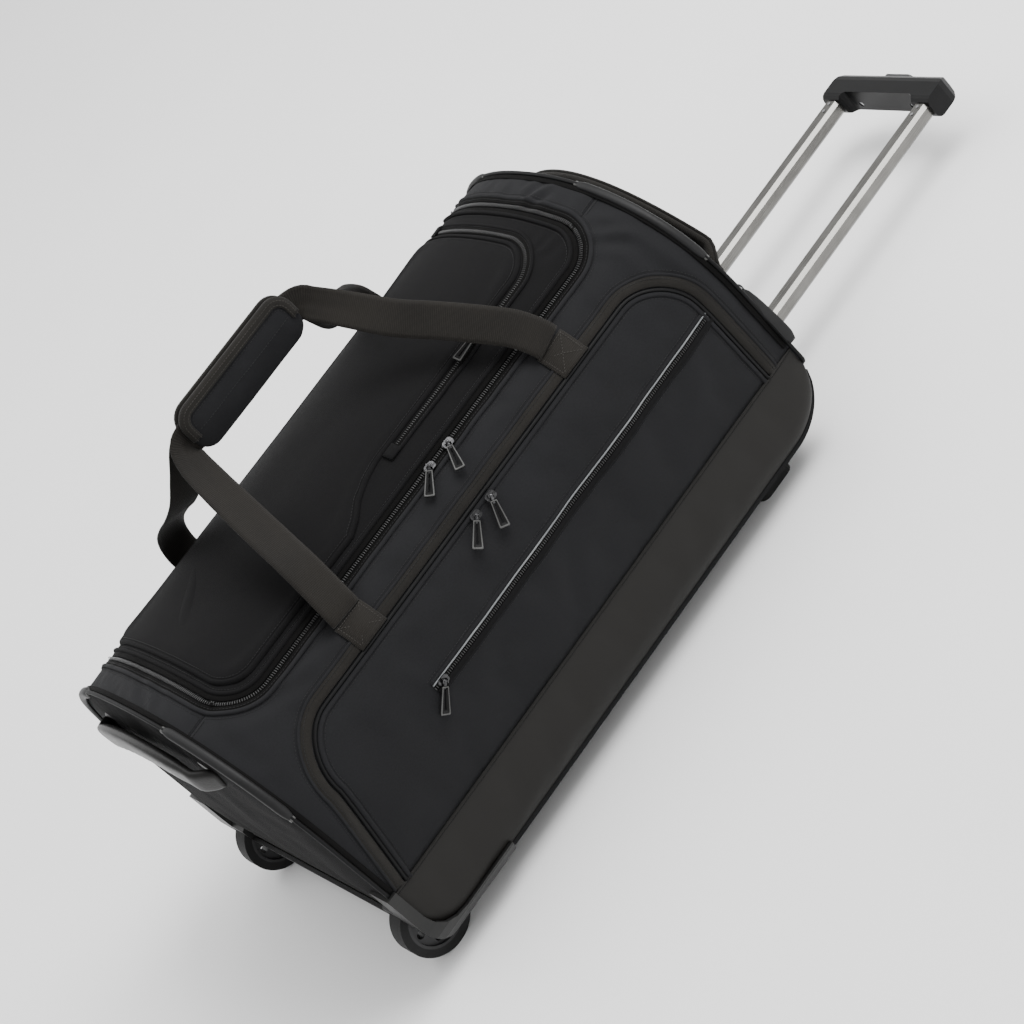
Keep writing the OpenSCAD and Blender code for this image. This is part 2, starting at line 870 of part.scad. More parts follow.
module panel_zip() {
    color(bright) {
        intersection() {
            wrap(-1.2, 0, body_x - 159, body_x + 298);
            block([body_x - 200, -wide, strip_z - 4], [x_handle, 0, strip_z + 4]);
        }
        pocket_ring(coil_h, -4, 0);
    }
}

// ---- zip sliders and pullers ----

pin_r = 1;
puller_l = 32;
puller_w = 9;
slider_h = 2.2;         // thickness of a slider's plate
pin_h = 4.4;            // height of the puller's pin above the plate's underside

// Places its children on the front of the arch at distance y and height z, with local +Z
// pointing out of the fabric and local +Y up the slope
module on_arch(x, y, lift) {
    translate([x, -y, arch_z(y)]) rotate([arch_slope(y), 0, 0]) translate([0, 0, lift]) children();
}

module on_side(x, z, lift) {
    translate([x, -half_w, z]) rotate([90, 0, 0]) translate([0, 0, lift]) children();
}

// The plate, and the two lugs that hold the pin
module slider(turn) {
    color(bright) {
        along_z(rounded([-6, -4.5], [6, 4.5], 3), 0, slider_h);
        rotate([0, 0, turn]) for (side = [-1, 1])
            translate([-2, side * 2.6 - 0.6, slider_h]) cube([4, 1.2, pin_h - slider_h + 1.6]);
        rotate([0, 0, turn]) translate([0, 2, pin_h]) rotate([90, 0, 0])
            cylinder(r = pin_r, h = 4, $fn = 24);
    }
}

module puller(turn) {
    color(bright) rotate([0, 0, turn]) difference() {
        union() {
            translate([0, 1.7, pin_h]) rotate([90, 0, 0]) cylinder(r = 1.9, h = 3.4, $fn = 24);
            translate([0, -1.7, pin_h - 0.9]) cube([6, 3.4, 1.8]);
            along_z(rounded([5, -puller_w / 2], [puller_l, puller_w / 2], 3), pin_h - 0.9, pin_h + 0.9);
        }
        translate([0, 5, pin_h]) rotate([90, 0, 0]) cylinder(r = pin_r + 0.06, h = 10, $fn = 24);
        translate([9, -1.3, 0]) cube([puller_l - 14, 2.6, 20]);
    }
}

main_slide_y = lid_half_w + gap + coil_w;
main_lift = coil_h + 0.4;
pocket_slide_y = arch_y(pocket_top - 9);
lid_slide_y = -lid_pocket_y + 6;
turn_a = 218;           // the way each puller hangs, from +X towards up the slope
turn_b = 240;
turn_panel = 223;

module main_slider_a() {
    on_arch(body_x + 8, main_slide_y, main_lift) slider(turn_a);
}

module main_puller_a() {
    on_arch(body_x + 8, main_slide_y, main_lift) puller(turn_a);
}

module main_slider_b() {
    on_arch(body_x + 38, main_slide_y, main_lift) slider(turn_b);
}

module main_puller_b() {
    on_arch(body_x + 38, main_slide_y, main_lift) puller(turn_b);
}

module pocket_slider_a() {
    on_arch(body_x - 7, pocket_slide_y, main_lift) slider(turn_a);
}

module pocket_puller_a() {
    on_arch(body_x - 7, pocket_slide_y, main_lift) puller(turn_a);
}

module pocket_slider_b() {
    on_arch(body_x + 17, pocket_slide_y, main_lift) slider(turn_b);
}

module pocket_puller_b() {
    on_arch(body_x + 17, pocket_slide_y, main_lift) puller(turn_b);
}

module panel_slider() {
    on_side(body_x - 152, strip_z, main_lift) slider(turn_panel);
}

module panel_puller() {
    on_side(body_x - 152, strip_z, main_lift) puller(turn_panel);
}

module lid_pocket_slider() {
    on_arch(body_x + 150, lid_slide_y, main_lift) slider(180);
}

module lid_pocket_puller() {
    on_arch(body_x + 150, lid_slide_y, main_lift) puller(180);
}

front_panel();
back_panel();
top_strips();
side_bands();
base_panel();
wheel_end_panel();
handle_end_panel();
end_piping();
corner_guards();
body_zips();
pocket_lining();
base_board();
base_tray();
wheel_housings();
axles();
feet_and_skids();
fixed_fasteners();
rails();
rail_brackets();
rail_cover();
handle_bezel();
wheel_end_grab_handle();
handle_end_grab_handle();
strap_tabs();
front_tyre();
front_hub();
front_bearings();
back_tyre();
back_hub();
back_bearings();
inner_tubes();
slide_blocks();
grip_shell();
grip_cover();
handle_fasteners();
release_button();
push_rods();
button_springs();
lock_pins();
lid_panel();
lid_pocket_panel();
lid_zips();
pocket_panel();
panel_zip();
front_loop();
front_grip_pad();
back_loop();
back_grip_pad();
main_slider_a();
main_puller_a();
main_slider_b();
main_puller_b();
pocket_slider_a();
pocket_puller_a();
pocket_slider_b();
pocket_puller_b();
panel_slider();
panel_puller();
lid_pocket_slider();
lid_pocket_puller();
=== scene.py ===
"""The looks of the rolling duffel bag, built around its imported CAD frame. Everything is in metres.

The body's surface can be unrolled, so panels and trims are laid out as (x, s): x along the bag, and s round
its girth from the top's middle, negative at the front.
"""

import json
import math

import bmesh
import bpy
import numpy as np
from mathutils import Matrix, Vector, geometry, noise
from mathutils.bvhtree import BVHTree

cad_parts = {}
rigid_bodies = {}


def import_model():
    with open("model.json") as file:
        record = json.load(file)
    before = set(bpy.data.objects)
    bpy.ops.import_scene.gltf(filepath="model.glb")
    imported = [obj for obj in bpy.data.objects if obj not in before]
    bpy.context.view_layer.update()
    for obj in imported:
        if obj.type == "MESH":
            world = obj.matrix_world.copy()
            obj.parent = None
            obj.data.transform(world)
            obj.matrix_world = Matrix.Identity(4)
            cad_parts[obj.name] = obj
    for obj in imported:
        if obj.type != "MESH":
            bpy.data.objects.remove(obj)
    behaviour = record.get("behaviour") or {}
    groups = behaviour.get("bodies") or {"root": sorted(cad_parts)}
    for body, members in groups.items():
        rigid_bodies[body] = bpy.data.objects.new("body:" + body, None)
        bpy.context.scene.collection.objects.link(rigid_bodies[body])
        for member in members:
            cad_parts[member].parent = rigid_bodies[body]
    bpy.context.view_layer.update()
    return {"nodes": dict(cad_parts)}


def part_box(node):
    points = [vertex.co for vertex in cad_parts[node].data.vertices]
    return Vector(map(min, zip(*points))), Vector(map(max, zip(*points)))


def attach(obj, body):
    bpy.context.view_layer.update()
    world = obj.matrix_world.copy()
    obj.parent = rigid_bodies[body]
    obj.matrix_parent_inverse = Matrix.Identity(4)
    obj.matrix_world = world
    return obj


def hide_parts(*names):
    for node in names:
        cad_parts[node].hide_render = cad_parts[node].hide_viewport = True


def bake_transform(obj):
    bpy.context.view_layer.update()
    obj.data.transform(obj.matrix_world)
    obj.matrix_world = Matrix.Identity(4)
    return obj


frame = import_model()

# ---- places, taken from the frame ----

MM = 0.001
x_wheel, x_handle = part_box("wheel_end_panel")[0].x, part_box("handle_end_panel")[1].x
body_x = (x_wheel + x_handle) / 2
half_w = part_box("back_panel")[1].y
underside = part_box("base_panel")[0].z
lid_low, lid_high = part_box("lid_panel")
lid_x0, lid_x1, lid_half, top_z = lid_low.x, lid_high.x, lid_high.y, lid_high.z
pocket_low, pocket_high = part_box("pocket_panel")
band_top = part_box("side_bands")[1].z
seam_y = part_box("top_strips")[1].y
x_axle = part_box("front_tyre")[0].x + 40 * MM
wheel_y = (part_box("back_tyre")[0].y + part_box("back_tyre")[1].y) / 2

# The body's section and outlines, as the CAD has them
SHOULDER = 202 * MM         # the arch starts at this height
ARCH_N = 2.27               # the arch's superellipse power
FOOT_R = 42 * MM            # the bottom edges' radii, along the sides and at the two ends
WHEEL_END_R = 50 * MM
HANDLE_END_R = 65 * MM
LID_CORNER = 45 * MM
POCKET_CORNER = 58 * MM
POCKET_LEAN = 24 * MM       # how far the pocket's wheel-end edge leans outwards
LID_POCKET_Y = -104 * MM    # the lid pocket's zip edge
LID_POCKET_R = 45 * MM
lid_pocket_x = body_x + 260 * MM
lid_pocket_back = 132 * MM
tab_x = (body_x - 158 * MM, body_x + 176 * MM)
STRIP_Z = 219 * MM          # the front pocket's own zip
ZIP_BACK = 128 * MM         # the lid's zip ends here, behind the top
SKIN_IN = 0.6 * MM          # fabric lies this far inside the CAD's face, so that trims stand on it
LINE_STEP = 4 * MM          # between the points of a trim's line


# ---- the body's surface ----

def run_of(line):
    """How far along a line each of its points lies."""
    return np.concatenate([[0], np.cumsum(np.linalg.norm(np.diff(line, axis=0), axis=1))])


def section_table():
    """The section from the top's middle, over the back, to the middle of the underside."""
    arch, foot = np.linspace(math.pi / 2, 0, 700), np.linspace(0, -math.pi / 2, 60)
    rise = top_z - SHOULDER
    y = [half_w * np.cos(arch) ** (2 / ARCH_N), np.full(60, half_w),
         half_w - FOOT_R + FOOT_R * np.cos(foot), np.linspace(half_w - FOOT_R, 0, 60)]
    z = [SHOULDER + rise * np.sin(arch) ** (2 / ARCH_N), np.linspace(SHOULDER, underside + FOOT_R, 60),
         underside + FOOT_R + FOOT_R * np.sin(foot), np.full(60, underside)]
    y, z = np.concatenate(y), np.concatenate(z)
    run = run_of(np.stack([y, z], 1))
    even = np.arange(0, run[-1], MM)
    y, z = np.interp(even, run, y), np.interp(even, run, z)
    dy, dz = np.gradient(y), np.gradient(z)
    size = np.hypot(dy, dz)
    return even, y, z, -dz / size, dy / size


GIRTH, SEC_Y, SEC_Z, SEC_NY, SEC_NZ = section_table()


def girth_at_y(y):
    """The s at which the arch has this y."""
    half = int(np.argmax(SEC_Z < SHOULDER))
    return math.copysign(float(np.interp(abs(y), SEC_Y[:half], GIRTH[:half])), y)


def girth_at_z(z):
    """The s at which the front has this height."""
    return -float(np.interp(z, SEC_Z[::-1], GIRTH[::-1]))


def lowest(x):
    """Height of the underside at x, where it curves up to the end panels."""
    ends = ((x_wheel + WHEEL_END_R - x, WHEEL_END_R), (x - x_handle + HANDLE_END_R, HANDLE_END_R))
    near, far = (r - np.sqrt(np.maximum(r ** 2 - np.clip(into, 0, r) ** 2, 0)) for into, r in ends)
    return underside + near + far


def floats(*values):
    """The values as float arrays of one shape."""
    return np.broadcast_arrays(*(np.asarray(v, float) for v in values))


def skin(x, s, h=0.0):
    """The point at (x, s), h outside the body's surface."""
    x, s, h = floats(x, s, h)
    y, z, ny, nz = (np.interp(np.abs(s), GIRTH, column) for column in (SEC_Y, SEC_Z, SEC_NY, SEC_NZ))
    side = np.where(s < 0, -1.0, 1.0)
    squeeze = (band_top - lowest(x)) / (band_top - underside)
    z = np.where(z < band_top, band_top - (band_top - z) * squeeze, z)
    lean = np.where(z < band_top, 1 - squeeze, 0) * np.where(x > body_x, 1, -1)
    size = np.sqrt(lean ** 2 + 1)
    return np.stack([x + h * lean / size, side * (y + ny * h / size), z + nz * h / size], -1)


S_BAND = girth_at_z(band_top)
S_SEAM = girth_at_y(-seam_y)
S_BASE = girth_at_z(underside + 11 * MM)
S_END = float(GIRTH[-1])
S_STRIP = girth_at_z(STRIP_Z)
S_HINGE = girth_at_y(lid_half)
S_CORNER = girth_at_y(-lid_half)        # the lid's front corners, and the lid pocket's
S_POUCH = girth_at_y(LID_POCKET_Y)


# ---- lines and outlines on the surface ----

def arc(cx, cy, r, start, stop, steps):
    turns = np.radians(np.linspace(start, stop, steps))
    return [(cx + r * math.cos(a), cy + r * math.sin(a)) for a in turns]


def loop_of(line):
    return np.vstack([line, line[:1]])


def resample(line, step=LINE_STEP, closed=False):
    """The line with points an even step apart. Its sharp corners are rounded by less than a step."""
    line = np.asarray(line, float)
    if closed:
        line = loop_of(line)
    run = run_of(line)
    at = np.linspace(0, run[-1], max(2, int(round(run[-1] / step))) + 1)
    if closed:
        at = at[:-1]
    return np.stack([np.interp(at, run, line[:, k]) for k in range(line.shape[1])], 1)


def normals_of(line, closed=False):
    """The way to the left of a line at each of its points."""
    along = np.roll(line, -1, 0) - np.roll(line, 1, 0) if closed else np.gradient(line, axis=0)
    along /= np.maximum(np.linalg.norm(along, axis=1, keepdims=True), 1e-12)
    return np.stack([-along[:, 1], along[:, 0]], 1)


def offset(line, distance, closed=False):
    """The line moved to its left by a distance in millimetres."""
    return line + normals_of(line, closed) * (distance * MM)


def box_line(x0, x1, s0, s1):
    return [(x0, s0), (x1, s0), (x1, s1), (x0, s1)]


def from_plan(points):
    return np.array([(x, girth_at_y(y)) for x, y in points])


def from_front(points):
    return np.array([(x, girth_at_z(z)) for x, z in points])


def lid_line(back):
    """The lid's edge from behind at the wheel end, along the front and behind again at the handle end."""
    r = LID_CORNER
    side = back + lid_half - r
    points = [(lid_x0, back - side * k / 30) for k in range(31)]
    points += arc(lid_x0 + r, -lid_half + r, r, 180, 270, 16)[1:]
    points += arc(lid_x1 - r, -lid_half + r, r, 270, 360, 16)
    points += [(lid_x1, -lid_half + r + side * k / 30) for k in range(1, 31)]
    return from_plan(points)


def pocket_line(bottom):
    """The pocket's edge from the bottom at the handle end, over the top, to the bottom at the wheel end."""
    r, x1, high = POCKET_CORNER, pocket_high.x, pocket_high.z
    x0 = pocket_low.x + POCKET_LEAN
    points = [(x1, bottom + (high - r - bottom) * k / 12) for k in range(13)]
    points += arc(x1 - r, high - r, r, 0, 90, 18)[1:]
    points += arc(x0 + r, high - r, r, 90, 180, 18)
    points += [(x0 - POCKET_LEAN * k / 12, high - r + (bottom - high + r) * k / 12) for k in range(1, 13)]
    return from_front(points)


def lid_pocket_line():
    """The lid pocket's outline: its zip edge, its handle end, its back and its wheel end."""
    front, back, r, y = -lid_half, lid_pocket_back, LID_POCKET_R, LID_POCKET_Y
    points = [(body_x - 90 * MM, front + 14 * MM)]
    points += [(body_x - x * MM, y - out * MM) for x, out in ((72, 23), (52, 11), (32, 4), (12, 0))]
    points += arc(lid_pocket_x - r, y + r, r, 270, 360, 14) + [(lid_pocket_x, back - 12 * MM)]
    points += arc(lid_pocket_x - 12 * MM, back - 12 * MM, 12 * MM, 0, 90, 5)
    points += arc(lid_x0 + 26 * MM, back - 12 * MM, 12 * MM, 90, 180, 5)
    points += arc(lid_x0 + 50 * MM, front + 50 * MM, 36 * MM, 180, 270, 12)
    return from_plan(resample(points, 5 * MM, closed=True))


lid_edge, pocket_edge, lid_pocket_edge = lid_line(lid_half), pocket_line(band_top), lid_pocket_line()
strip_line = np.array([(body_x - 163 * MM, S_STRIP), (pocket_high.x - 3 * MM, S_STRIP)])


# ---- materials ----

class Shader:
    """A material and short calls to build its nodes."""

    def __init__(self, name):
        self.material = bpy.data.materials.new(name)
        self.material.use_nodes = True
        self.tree = self.material.node_tree
        self.bsdf = self.tree.nodes["Principled BSDF"]
        self.coords = self.tree.nodes.new("ShaderNodeTexCoord")

    def node(self, kind, sockets=(), **values):
        made = self.tree.nodes.new("ShaderNode" + kind)
        for key, value in values.items():
            setattr(made, key, value)
        for key, value in dict(sockets).items():
            made.inputs[key].default_value = value
        return made

    def link(self, source, target):
        self.tree.links.new(source, target)

    def scaled(self, space, scale):
        scale = scale if isinstance(scale, tuple) else (scale,) * 3
        mapping = self.node("Mapping", {"Scale": scale})
        self.link(self.coords.outputs[space], mapping.inputs["Vector"])
        return mapping.outputs["Vector"]

    def noise(self, space, scale, detail=3.0, rough=0.5):
        made = self.node("TexNoise", {"Detail": detail, "Roughness": rough, "Scale": 1.0})
        self.link(self.scaled(space, scale), made.inputs["Vector"])
        return made.outputs["Fac"]

    def waves(self, space, direction, period):
        """Even bands across one direction, a period apart."""
        made = self.node("TexWave", {"Scale": 1.0, "Distortion": 0.0}, wave_type="BANDS",
                         bands_direction=direction, wave_profile="SIN")
        self.link(self.scaled(space, 2 * math.pi / 20 / period), made.inputs["Vector"])
        return made.outputs["Fac"]

    def math(self, operation, a, b):
        made = self.node("Math", operation=operation)
        for socket, value in zip(made.inputs, (a, b)):
            if isinstance(value, (int, float)):
                socket.default_value = value
            else:
                self.link(value, socket)
        return made.outputs[0]

    def add(self, a, b):
        return self.math("ADD", a, b)

    def times(self, a, b):
        return self.math("MULTIPLY", a, b)

    def ramp(self, fac, low, high, out_low, out_high):
        made = self.node("MapRange", {"From Min": low, "From Max": high,
                                      "To Min": out_low, "To Max": out_high})
        self.link(fac, made.inputs[0])
        return made.outputs[0]

    def colours(self, fac, first, second):
        made = self.node("Mix", data_type="RGBA")
        made.inputs[6].default_value = (*first, 1)
        made.inputs[7].default_value = (*second, 1)
        self.link(fac, made.inputs[0])
        return made.outputs[2]

    def bump(self, height, distance, strength, under=None):
        made = self.node("Bump", {"Strength": strength, "Distance": distance})
        self.link(height, made.inputs["Height"])
        if under:
            self.link(under, made.inputs["Normal"])
        return made.outputs["Normal"]

    def finish(self, colour, roughness=None, normal=None, **sockets):
        for name, source in (("Base Color", colour), ("Roughness", roughness), ("Normal", normal)):
            if source is not None:
                self.link(source, self.bsdf.inputs[name])
        for name, value in sockets.items():
            self.bsdf.inputs[name.replace("_", " ")].default_value = value
        return self.material


def cloth_material(name, dark, light, period, rough=(0.55, 0.8), sheen=0.04, spec=0.16, weave=0.5, soft=0.12,
                   twill=0.0):
    """Woven cloth: two sets of threads a period apart, a faint cloudiness and soft dents."""
    s = Shader(name)
    across, along = s.waves("UV", "X", period), s.waves("UV", "Y", period)
    threads = s.times(across, along)
    if twill:
        threads = s.add(threads, s.times(s.waves("UV", "DIAGONAL", period * 1.7), twill))
    fibre = s.noise("UV", 1 / (2.2 * period), 2.0)
    cloud = s.noise("Object", 9.0, 4.0)
    shade = s.add(s.add(s.times(threads, 0.35), s.times(cloud, 0.55)), s.times(fibre, 0.55))
    colour = s.colours(s.ramp(shade, 0.35, 0.95, 0, 1), dark, light)
    dents = s.bump(s.noise("Object", 26.0, 3.0), 2.2 * MM, soft)
    normal = s.bump(s.add(threads, s.times(fibre, 0.6)), 0.25 * MM, weave, dents)
    roughness = s.ramp(s.add(cloud, s.times(fibre, 0.4)), 0.35, 1.0, *rough)
    return s.finish(colour, roughness, normal, Sheen_Weight=sheen, Sheen_Roughness=0.45,
                    Specular_IOR_Level=spec)


def webbing_material(name, dark, light, rib=1.9, thread=1.1, sheen=0.05, spec=0.15):
    """Heavy webbing: ribs across its width and a herringbone of threads along it, both in millimetres."""
    s = Shader(name)
    ribs, rows = s.waves("UV", "X", rib * MM), s.waves("UV", "Y", thread * MM)
    fibre = s.noise("UV", 900.0, 2.0)
    cloud = s.noise("Object", 14.0, 3.0)
    height = s.add(s.times(ribs, rows), s.times(fibre, 0.5))
    shade = s.add(s.times(height, 0.5), s.times(cloud, 0.6))
    colour = s.colours(s.ramp(shade, 0.25, 1.0, 0, 1), dark, light)
    return s.finish(colour, s.ramp(fibre, 0.3, 0.8, 0.6, 0.85), s.bump(height, 0.45 * MM, 0.8),
                    Sheen_Weight=sheen, Sheen_Roughness=0.5, Specular_IOR_Level=spec)


def moulded_material(name, dark, light, rough, grain, spec, depth=0.12):
    """Moulded plastic or rubber: a fine grain, depth millimetres deep, uneven gloss and rub marks."""
    s = Shader(name)
    fine = s.noise("Object", grain, 2.0)
    cloud = s.noise("Object", 22.0, 4.0)
    streak = s.noise("Object", (60.0, 420.0, 420.0), 3.0, 0.7)
    colour = s.colours(s.ramp(s.add(cloud, s.times(streak, 0.4)), 0.4, 1.0, 0, 1), dark, light)
    roughness = s.ramp(s.add(s.times(cloud, 0.7), s.times(fine, 0.4)), 0.3, 0.8, *rough)
    normal = s.bump(fine, depth * MM, 0.5, s.bump(cloud, 0.6 * MM, 0.15))
    return s.finish(colour, roughness, normal, Specular_IOR_Level=spec)


def metal_material(name, dark, light, rough, brushed=(30.0, 1400.0, 1400.0)):
    """Metal with brush lines along one axis and worn, uneven gloss."""
    s = Shader(name)
    lines = s.noise("Object", brushed, 3.0, 0.6)
    cloud = s.noise("Object", 35.0, 4.0)
    colour = s.colours(s.ramp(s.add(s.times(lines, 0.6), s.times(cloud, 0.5)), 0.35, 0.8, 0, 1), dark, light)
    roughness = s.ramp(s.add(lines, s.times(cloud, 0.6)), 0.5, 1.2, *rough)
    return s.finish(colour, roughness, s.bump(lines, 0.03 * MM, 0.4), Metallic=1.0)


nylon = cloth_material("nylon", (0.0050, 0.0050, 0.0056), (0.0128, 0.0129, 0.0142), 0.85 * MM,
                       (0.68, 0.9), 0.02, 0.12)
# A darker copy of the same nylon: painted shade for the lid, its pocket, the wheel end and some folds and
# welts, which the lamps would otherwise light more than the front
nylon_painted_shade = cloth_material("nylon_painted_shade", (0.0032, 0.0031, 0.0033), (0.0085, 0.0083, 0.0087), 0.85 * MM,
                           (0.7, 0.92), 0.01, 0.06)
coated = cloth_material("coated_fabric", (0.0085, 0.0079, 0.0072), (0.0135, 0.0127, 0.0116), 0.7 * MM,
                        (0.5, 0.68), 0.0, 0.15, weave=0.15, soft=0.08)
lining = cloth_material("lining", (0.035, 0.035, 0.039), (0.07, 0.07, 0.077), 0.6 * MM, weave=0.3, twill=0.3)
webbing = webbing_material("webbing", (0.0038, 0.0032, 0.0026), (0.0155, 0.0133, 0.0105))
binding = webbing_material("binding", (0.0045, 0.0040, 0.0033), (0.0165, 0.0145, 0.0120), 1.2, 0.8)
zip_tape = webbing_material("zip_tape", (0.0022, 0.0021, 0.0021), (0.0075, 0.0072, 0.0070), 0.9, 0.9,
                            0.0, 0.05)
aluminium = metal_material("tube_aluminium", (0.12, 0.117, 0.11), (0.21, 0.206, 0.195), (0.22, 0.36))
steel = metal_material("steel", (0.30, 0.30, 0.31), (0.48, 0.48, 0.48), (0.22, 0.4))
nickel = metal_material("dark_nickel", (0.022, 0.022, 0.023), (0.10, 0.10, 0.102), (0.2, 0.36),
                        (90.0, 500.0, 500.0))
(stitch_pale, stitch_dark, coil, piping, guard, guard_tip, moulded, gloss, button, board, leather,
 tyre_rubber, hub_plastic, puller_rim_painted_highlight, puller_rubber, reflective) = (
    moulded_material(*row) for row in (
        # name, darkest and lightest colour, roughness, grain, specular level and the grain's depth
        ("stitch_pale", (0.016, 0.0145, 0.013), (0.045, 0.042, 0.038), (0.5, 0.7), 1800.0, 0.15),
        ("stitch_dark", (0.003, 0.003, 0.0032), (0.018, 0.018, 0.0185), (0.5, 0.7), 1800.0, 0.15),
        ("zip_coil", (0.008, 0.008, 0.0082), (0.034, 0.034, 0.0345), (0.24, 0.4), 900.0, 0.4),
        ("piping", (0.003, 0.003, 0.0032), (0.0065, 0.0065, 0.0067), (0.4, 0.6), 500.0, 0.1),
        ("guard_rubber", (0.006, 0.006, 0.0062), (0.014, 0.014, 0.0143), (0.42, 0.6), 500.0, 0.16),
        ("guard_tips", (0.035, 0.035, 0.034), (0.08, 0.08, 0.077), (0.25, 0.45), 500.0, 0.3),
        ("moulded_black", (0.0085, 0.0085, 0.0083), (0.0175, 0.0175, 0.017), (0.34, 0.52), 650.0, 0.22, 0.2),
        ("grip_plastic", (0.0025, 0.0025, 0.0027), (0.0065, 0.0065, 0.0067), (0.3, 0.45), 900.0, 0.12, 0.05),
        ("button_plastic", (0.02, 0.02, 0.021), (0.04, 0.04, 0.041), (0.3, 0.5), 900.0, 0.3, 0.1),
        ("board", (0.008, 0.008, 0.009), (0.02, 0.02, 0.022), (0.6, 0.8), 300.0, 0.2, 0.3),
        ("soft_grip", (0.0055, 0.0053, 0.0051), (0.0135, 0.013, 0.0125), (0.3, 0.46), 380.0, 0.2, 0.35),
        ("tyre_rubber", (0.004, 0.004, 0.004), (0.012, 0.012, 0.012), (0.5, 0.75), 420.0, 0.2, 0.3),
        ("hub_plastic", (0.012, 0.012, 0.0125), (0.028, 0.028, 0.029), (0.35, 0.55), 800.0, 0.3, 0.1),
        # the pullers' rim colour, far lighter than their rubber, is a painted highlight along the tabs'
        # raised edges
        ("puller_rim_painted_highlight", (0.035, 0.035, 0.034), (0.075, 0.075, 0.073), (0.35, 0.5), 600.0, 0.2),
        ("puller_rubber", (0.005, 0.005, 0.005), (0.014, 0.014, 0.014), (0.45, 0.62), 600.0, 0.1),
        ("reflective_tape", (0.085, 0.09, 0.095), (0.17, 0.175, 0.18), (0.25, 0.4), 1200.0, 0.3)))

# The record's slot that each material takes its finish from
SLOTS = {material.name: slot for slot, materials in (
    ("nylon", (nylon, nylon_painted_shade)), ("coated_band", (coated,)), ("lining", (lining,)),
    ("webbing", (webbing, binding, stitch_pale, stitch_dark)), ("zip_tape", (zip_tape, coil)),
    ("piping", (piping,)), ("guard_rubber", (guard, guard_tip, puller_rubber)),
    ("handle_leather", (leather,)), ("puller_metal", (nickel, reflective))) for material in materials}


# ---- mesh helpers ----

def add_mesh(name, verts, faces, material, uvs=None):
    """A smooth mesh object from points and faces, with one UV per point in real metres."""
    data = bpy.data.meshes.new(name)
    data.from_pydata([tuple(v) for v in np.asarray(verts, float)], [],
                     [tuple(int(i) for i in f) for f in faces])
    if uvs is not None:
        layer = data.uv_layers.new(name="UVMap")
        index = np.empty(len(data.loops), int)
        data.loops.foreach_get("vertex_index", index)
        layer.data.foreach_set("uv", np.asarray(uvs, np.float32)[index].ravel())
    data.polygons.foreach_set("use_smooth", [True] * len(data.polygons))
    data.materials.append(material)
    made = bpy.data.objects.new(name, data)
    bpy.context.scene.collection.objects.link(made)
    return made


def give_slot(made, slot=None):
    """Looks up the slot of the piece's material, unless another is given; the slot is not kept on the piece.
    """
    slot or SLOTS[made.data.materials[0].name]


def place(made, body, *nodes, slot=None):
    """The piece rides on a body, has its slot looked up and stands for CAD nodes."""
    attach(made, body)
    give_slot(made, slot)
    if nodes:
        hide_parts(*nodes)
    return made


def edit(made, change, **rules):
    """Runs one bmesh operation on all of a piece's faces."""
    mesh = bmesh.new()
    mesh.from_mesh(made.data)
    change(mesh, faces=mesh.faces, **rules)
    mesh.to_mesh(made.data)
    mesh.free()
    return made


def inside(points, loop):
    """Which points lie inside a closed outline."""
    x, y = points[:, 0][:, None], points[:, 1][:, None]
    ax, ay = loop[:, 0][None], loop[:, 1][None]
    bx, by = np.roll(ax, -1), np.roll(ay, -1)
    crosses = (ay > y) != (by > y)
    with np.errstate(divide="ignore", invalid="ignore"):
        where = ax + (y - ay) * (bx - ax) / (by - ay)
    return (np.sum(crosses & (x < where), 1) % 2) == 1


def distance(points, line):
    """Distance from each point to a line."""
    a, b = line[:-1], line[1:]
    along = b - a
    length = np.maximum((along ** 2).sum(1), 1e-18)
    t = np.clip(((points[:, None] - a) * along).sum(2) / length, 0, 1)
    return np.linalg.norm(points[:, None] - (a + t[..., None] * along), axis=2).min(1)


def fill(outline, step):
    """Points and faces that fill an outline on an even grid, and each point's distance to the edge."""
    loop = resample(outline, step * 0.8, closed=True)
    low, high = loop.min(0), loop.max(0)
    columns = [np.arange(math.ceil(low[k] / step) * step, high[k], step) for k in (0, 1)]
    grid = np.stack(np.meshgrid(*columns), -1).reshape(-1, 2)
    grid = grid[inside(grid, loop)]
    grid = grid[distance(grid, loop_of(loop)) > step * 0.45]
    edges = [(i, (i + 1) % len(loop)) for i in range(len(loop))]
    made = geometry.delaunay_2d_cdt([Vector(p) for p in np.vstack([loop, grid])], edges, [], 0, 1e-7)
    points = np.array([tuple(p) for p in made[0]])
    faces = np.array([f for f in made[2] if len(f) == 3])
    faces = faces[inside(points[faces].mean(1), loop)]
    return points, faces, distance(points, loop_of(loop))


def ripple(points, scale, seed):
    """Soft uneven folds from -1 to 1."""
    return np.array([noise.noise(Vector((p[0] / scale, p[1] / scale, seed))) for p in points]) * 1.6


SETTLE_FRAMES = 16
CLOTH = {"quality": 5, "mass": 0.2, "tension_stiffness": 18, "compression_stiffness": 14,
         "shear_stiffness": 6, "bending_stiffness": 1.2, "air_damping": 4, "use_pressure": True}


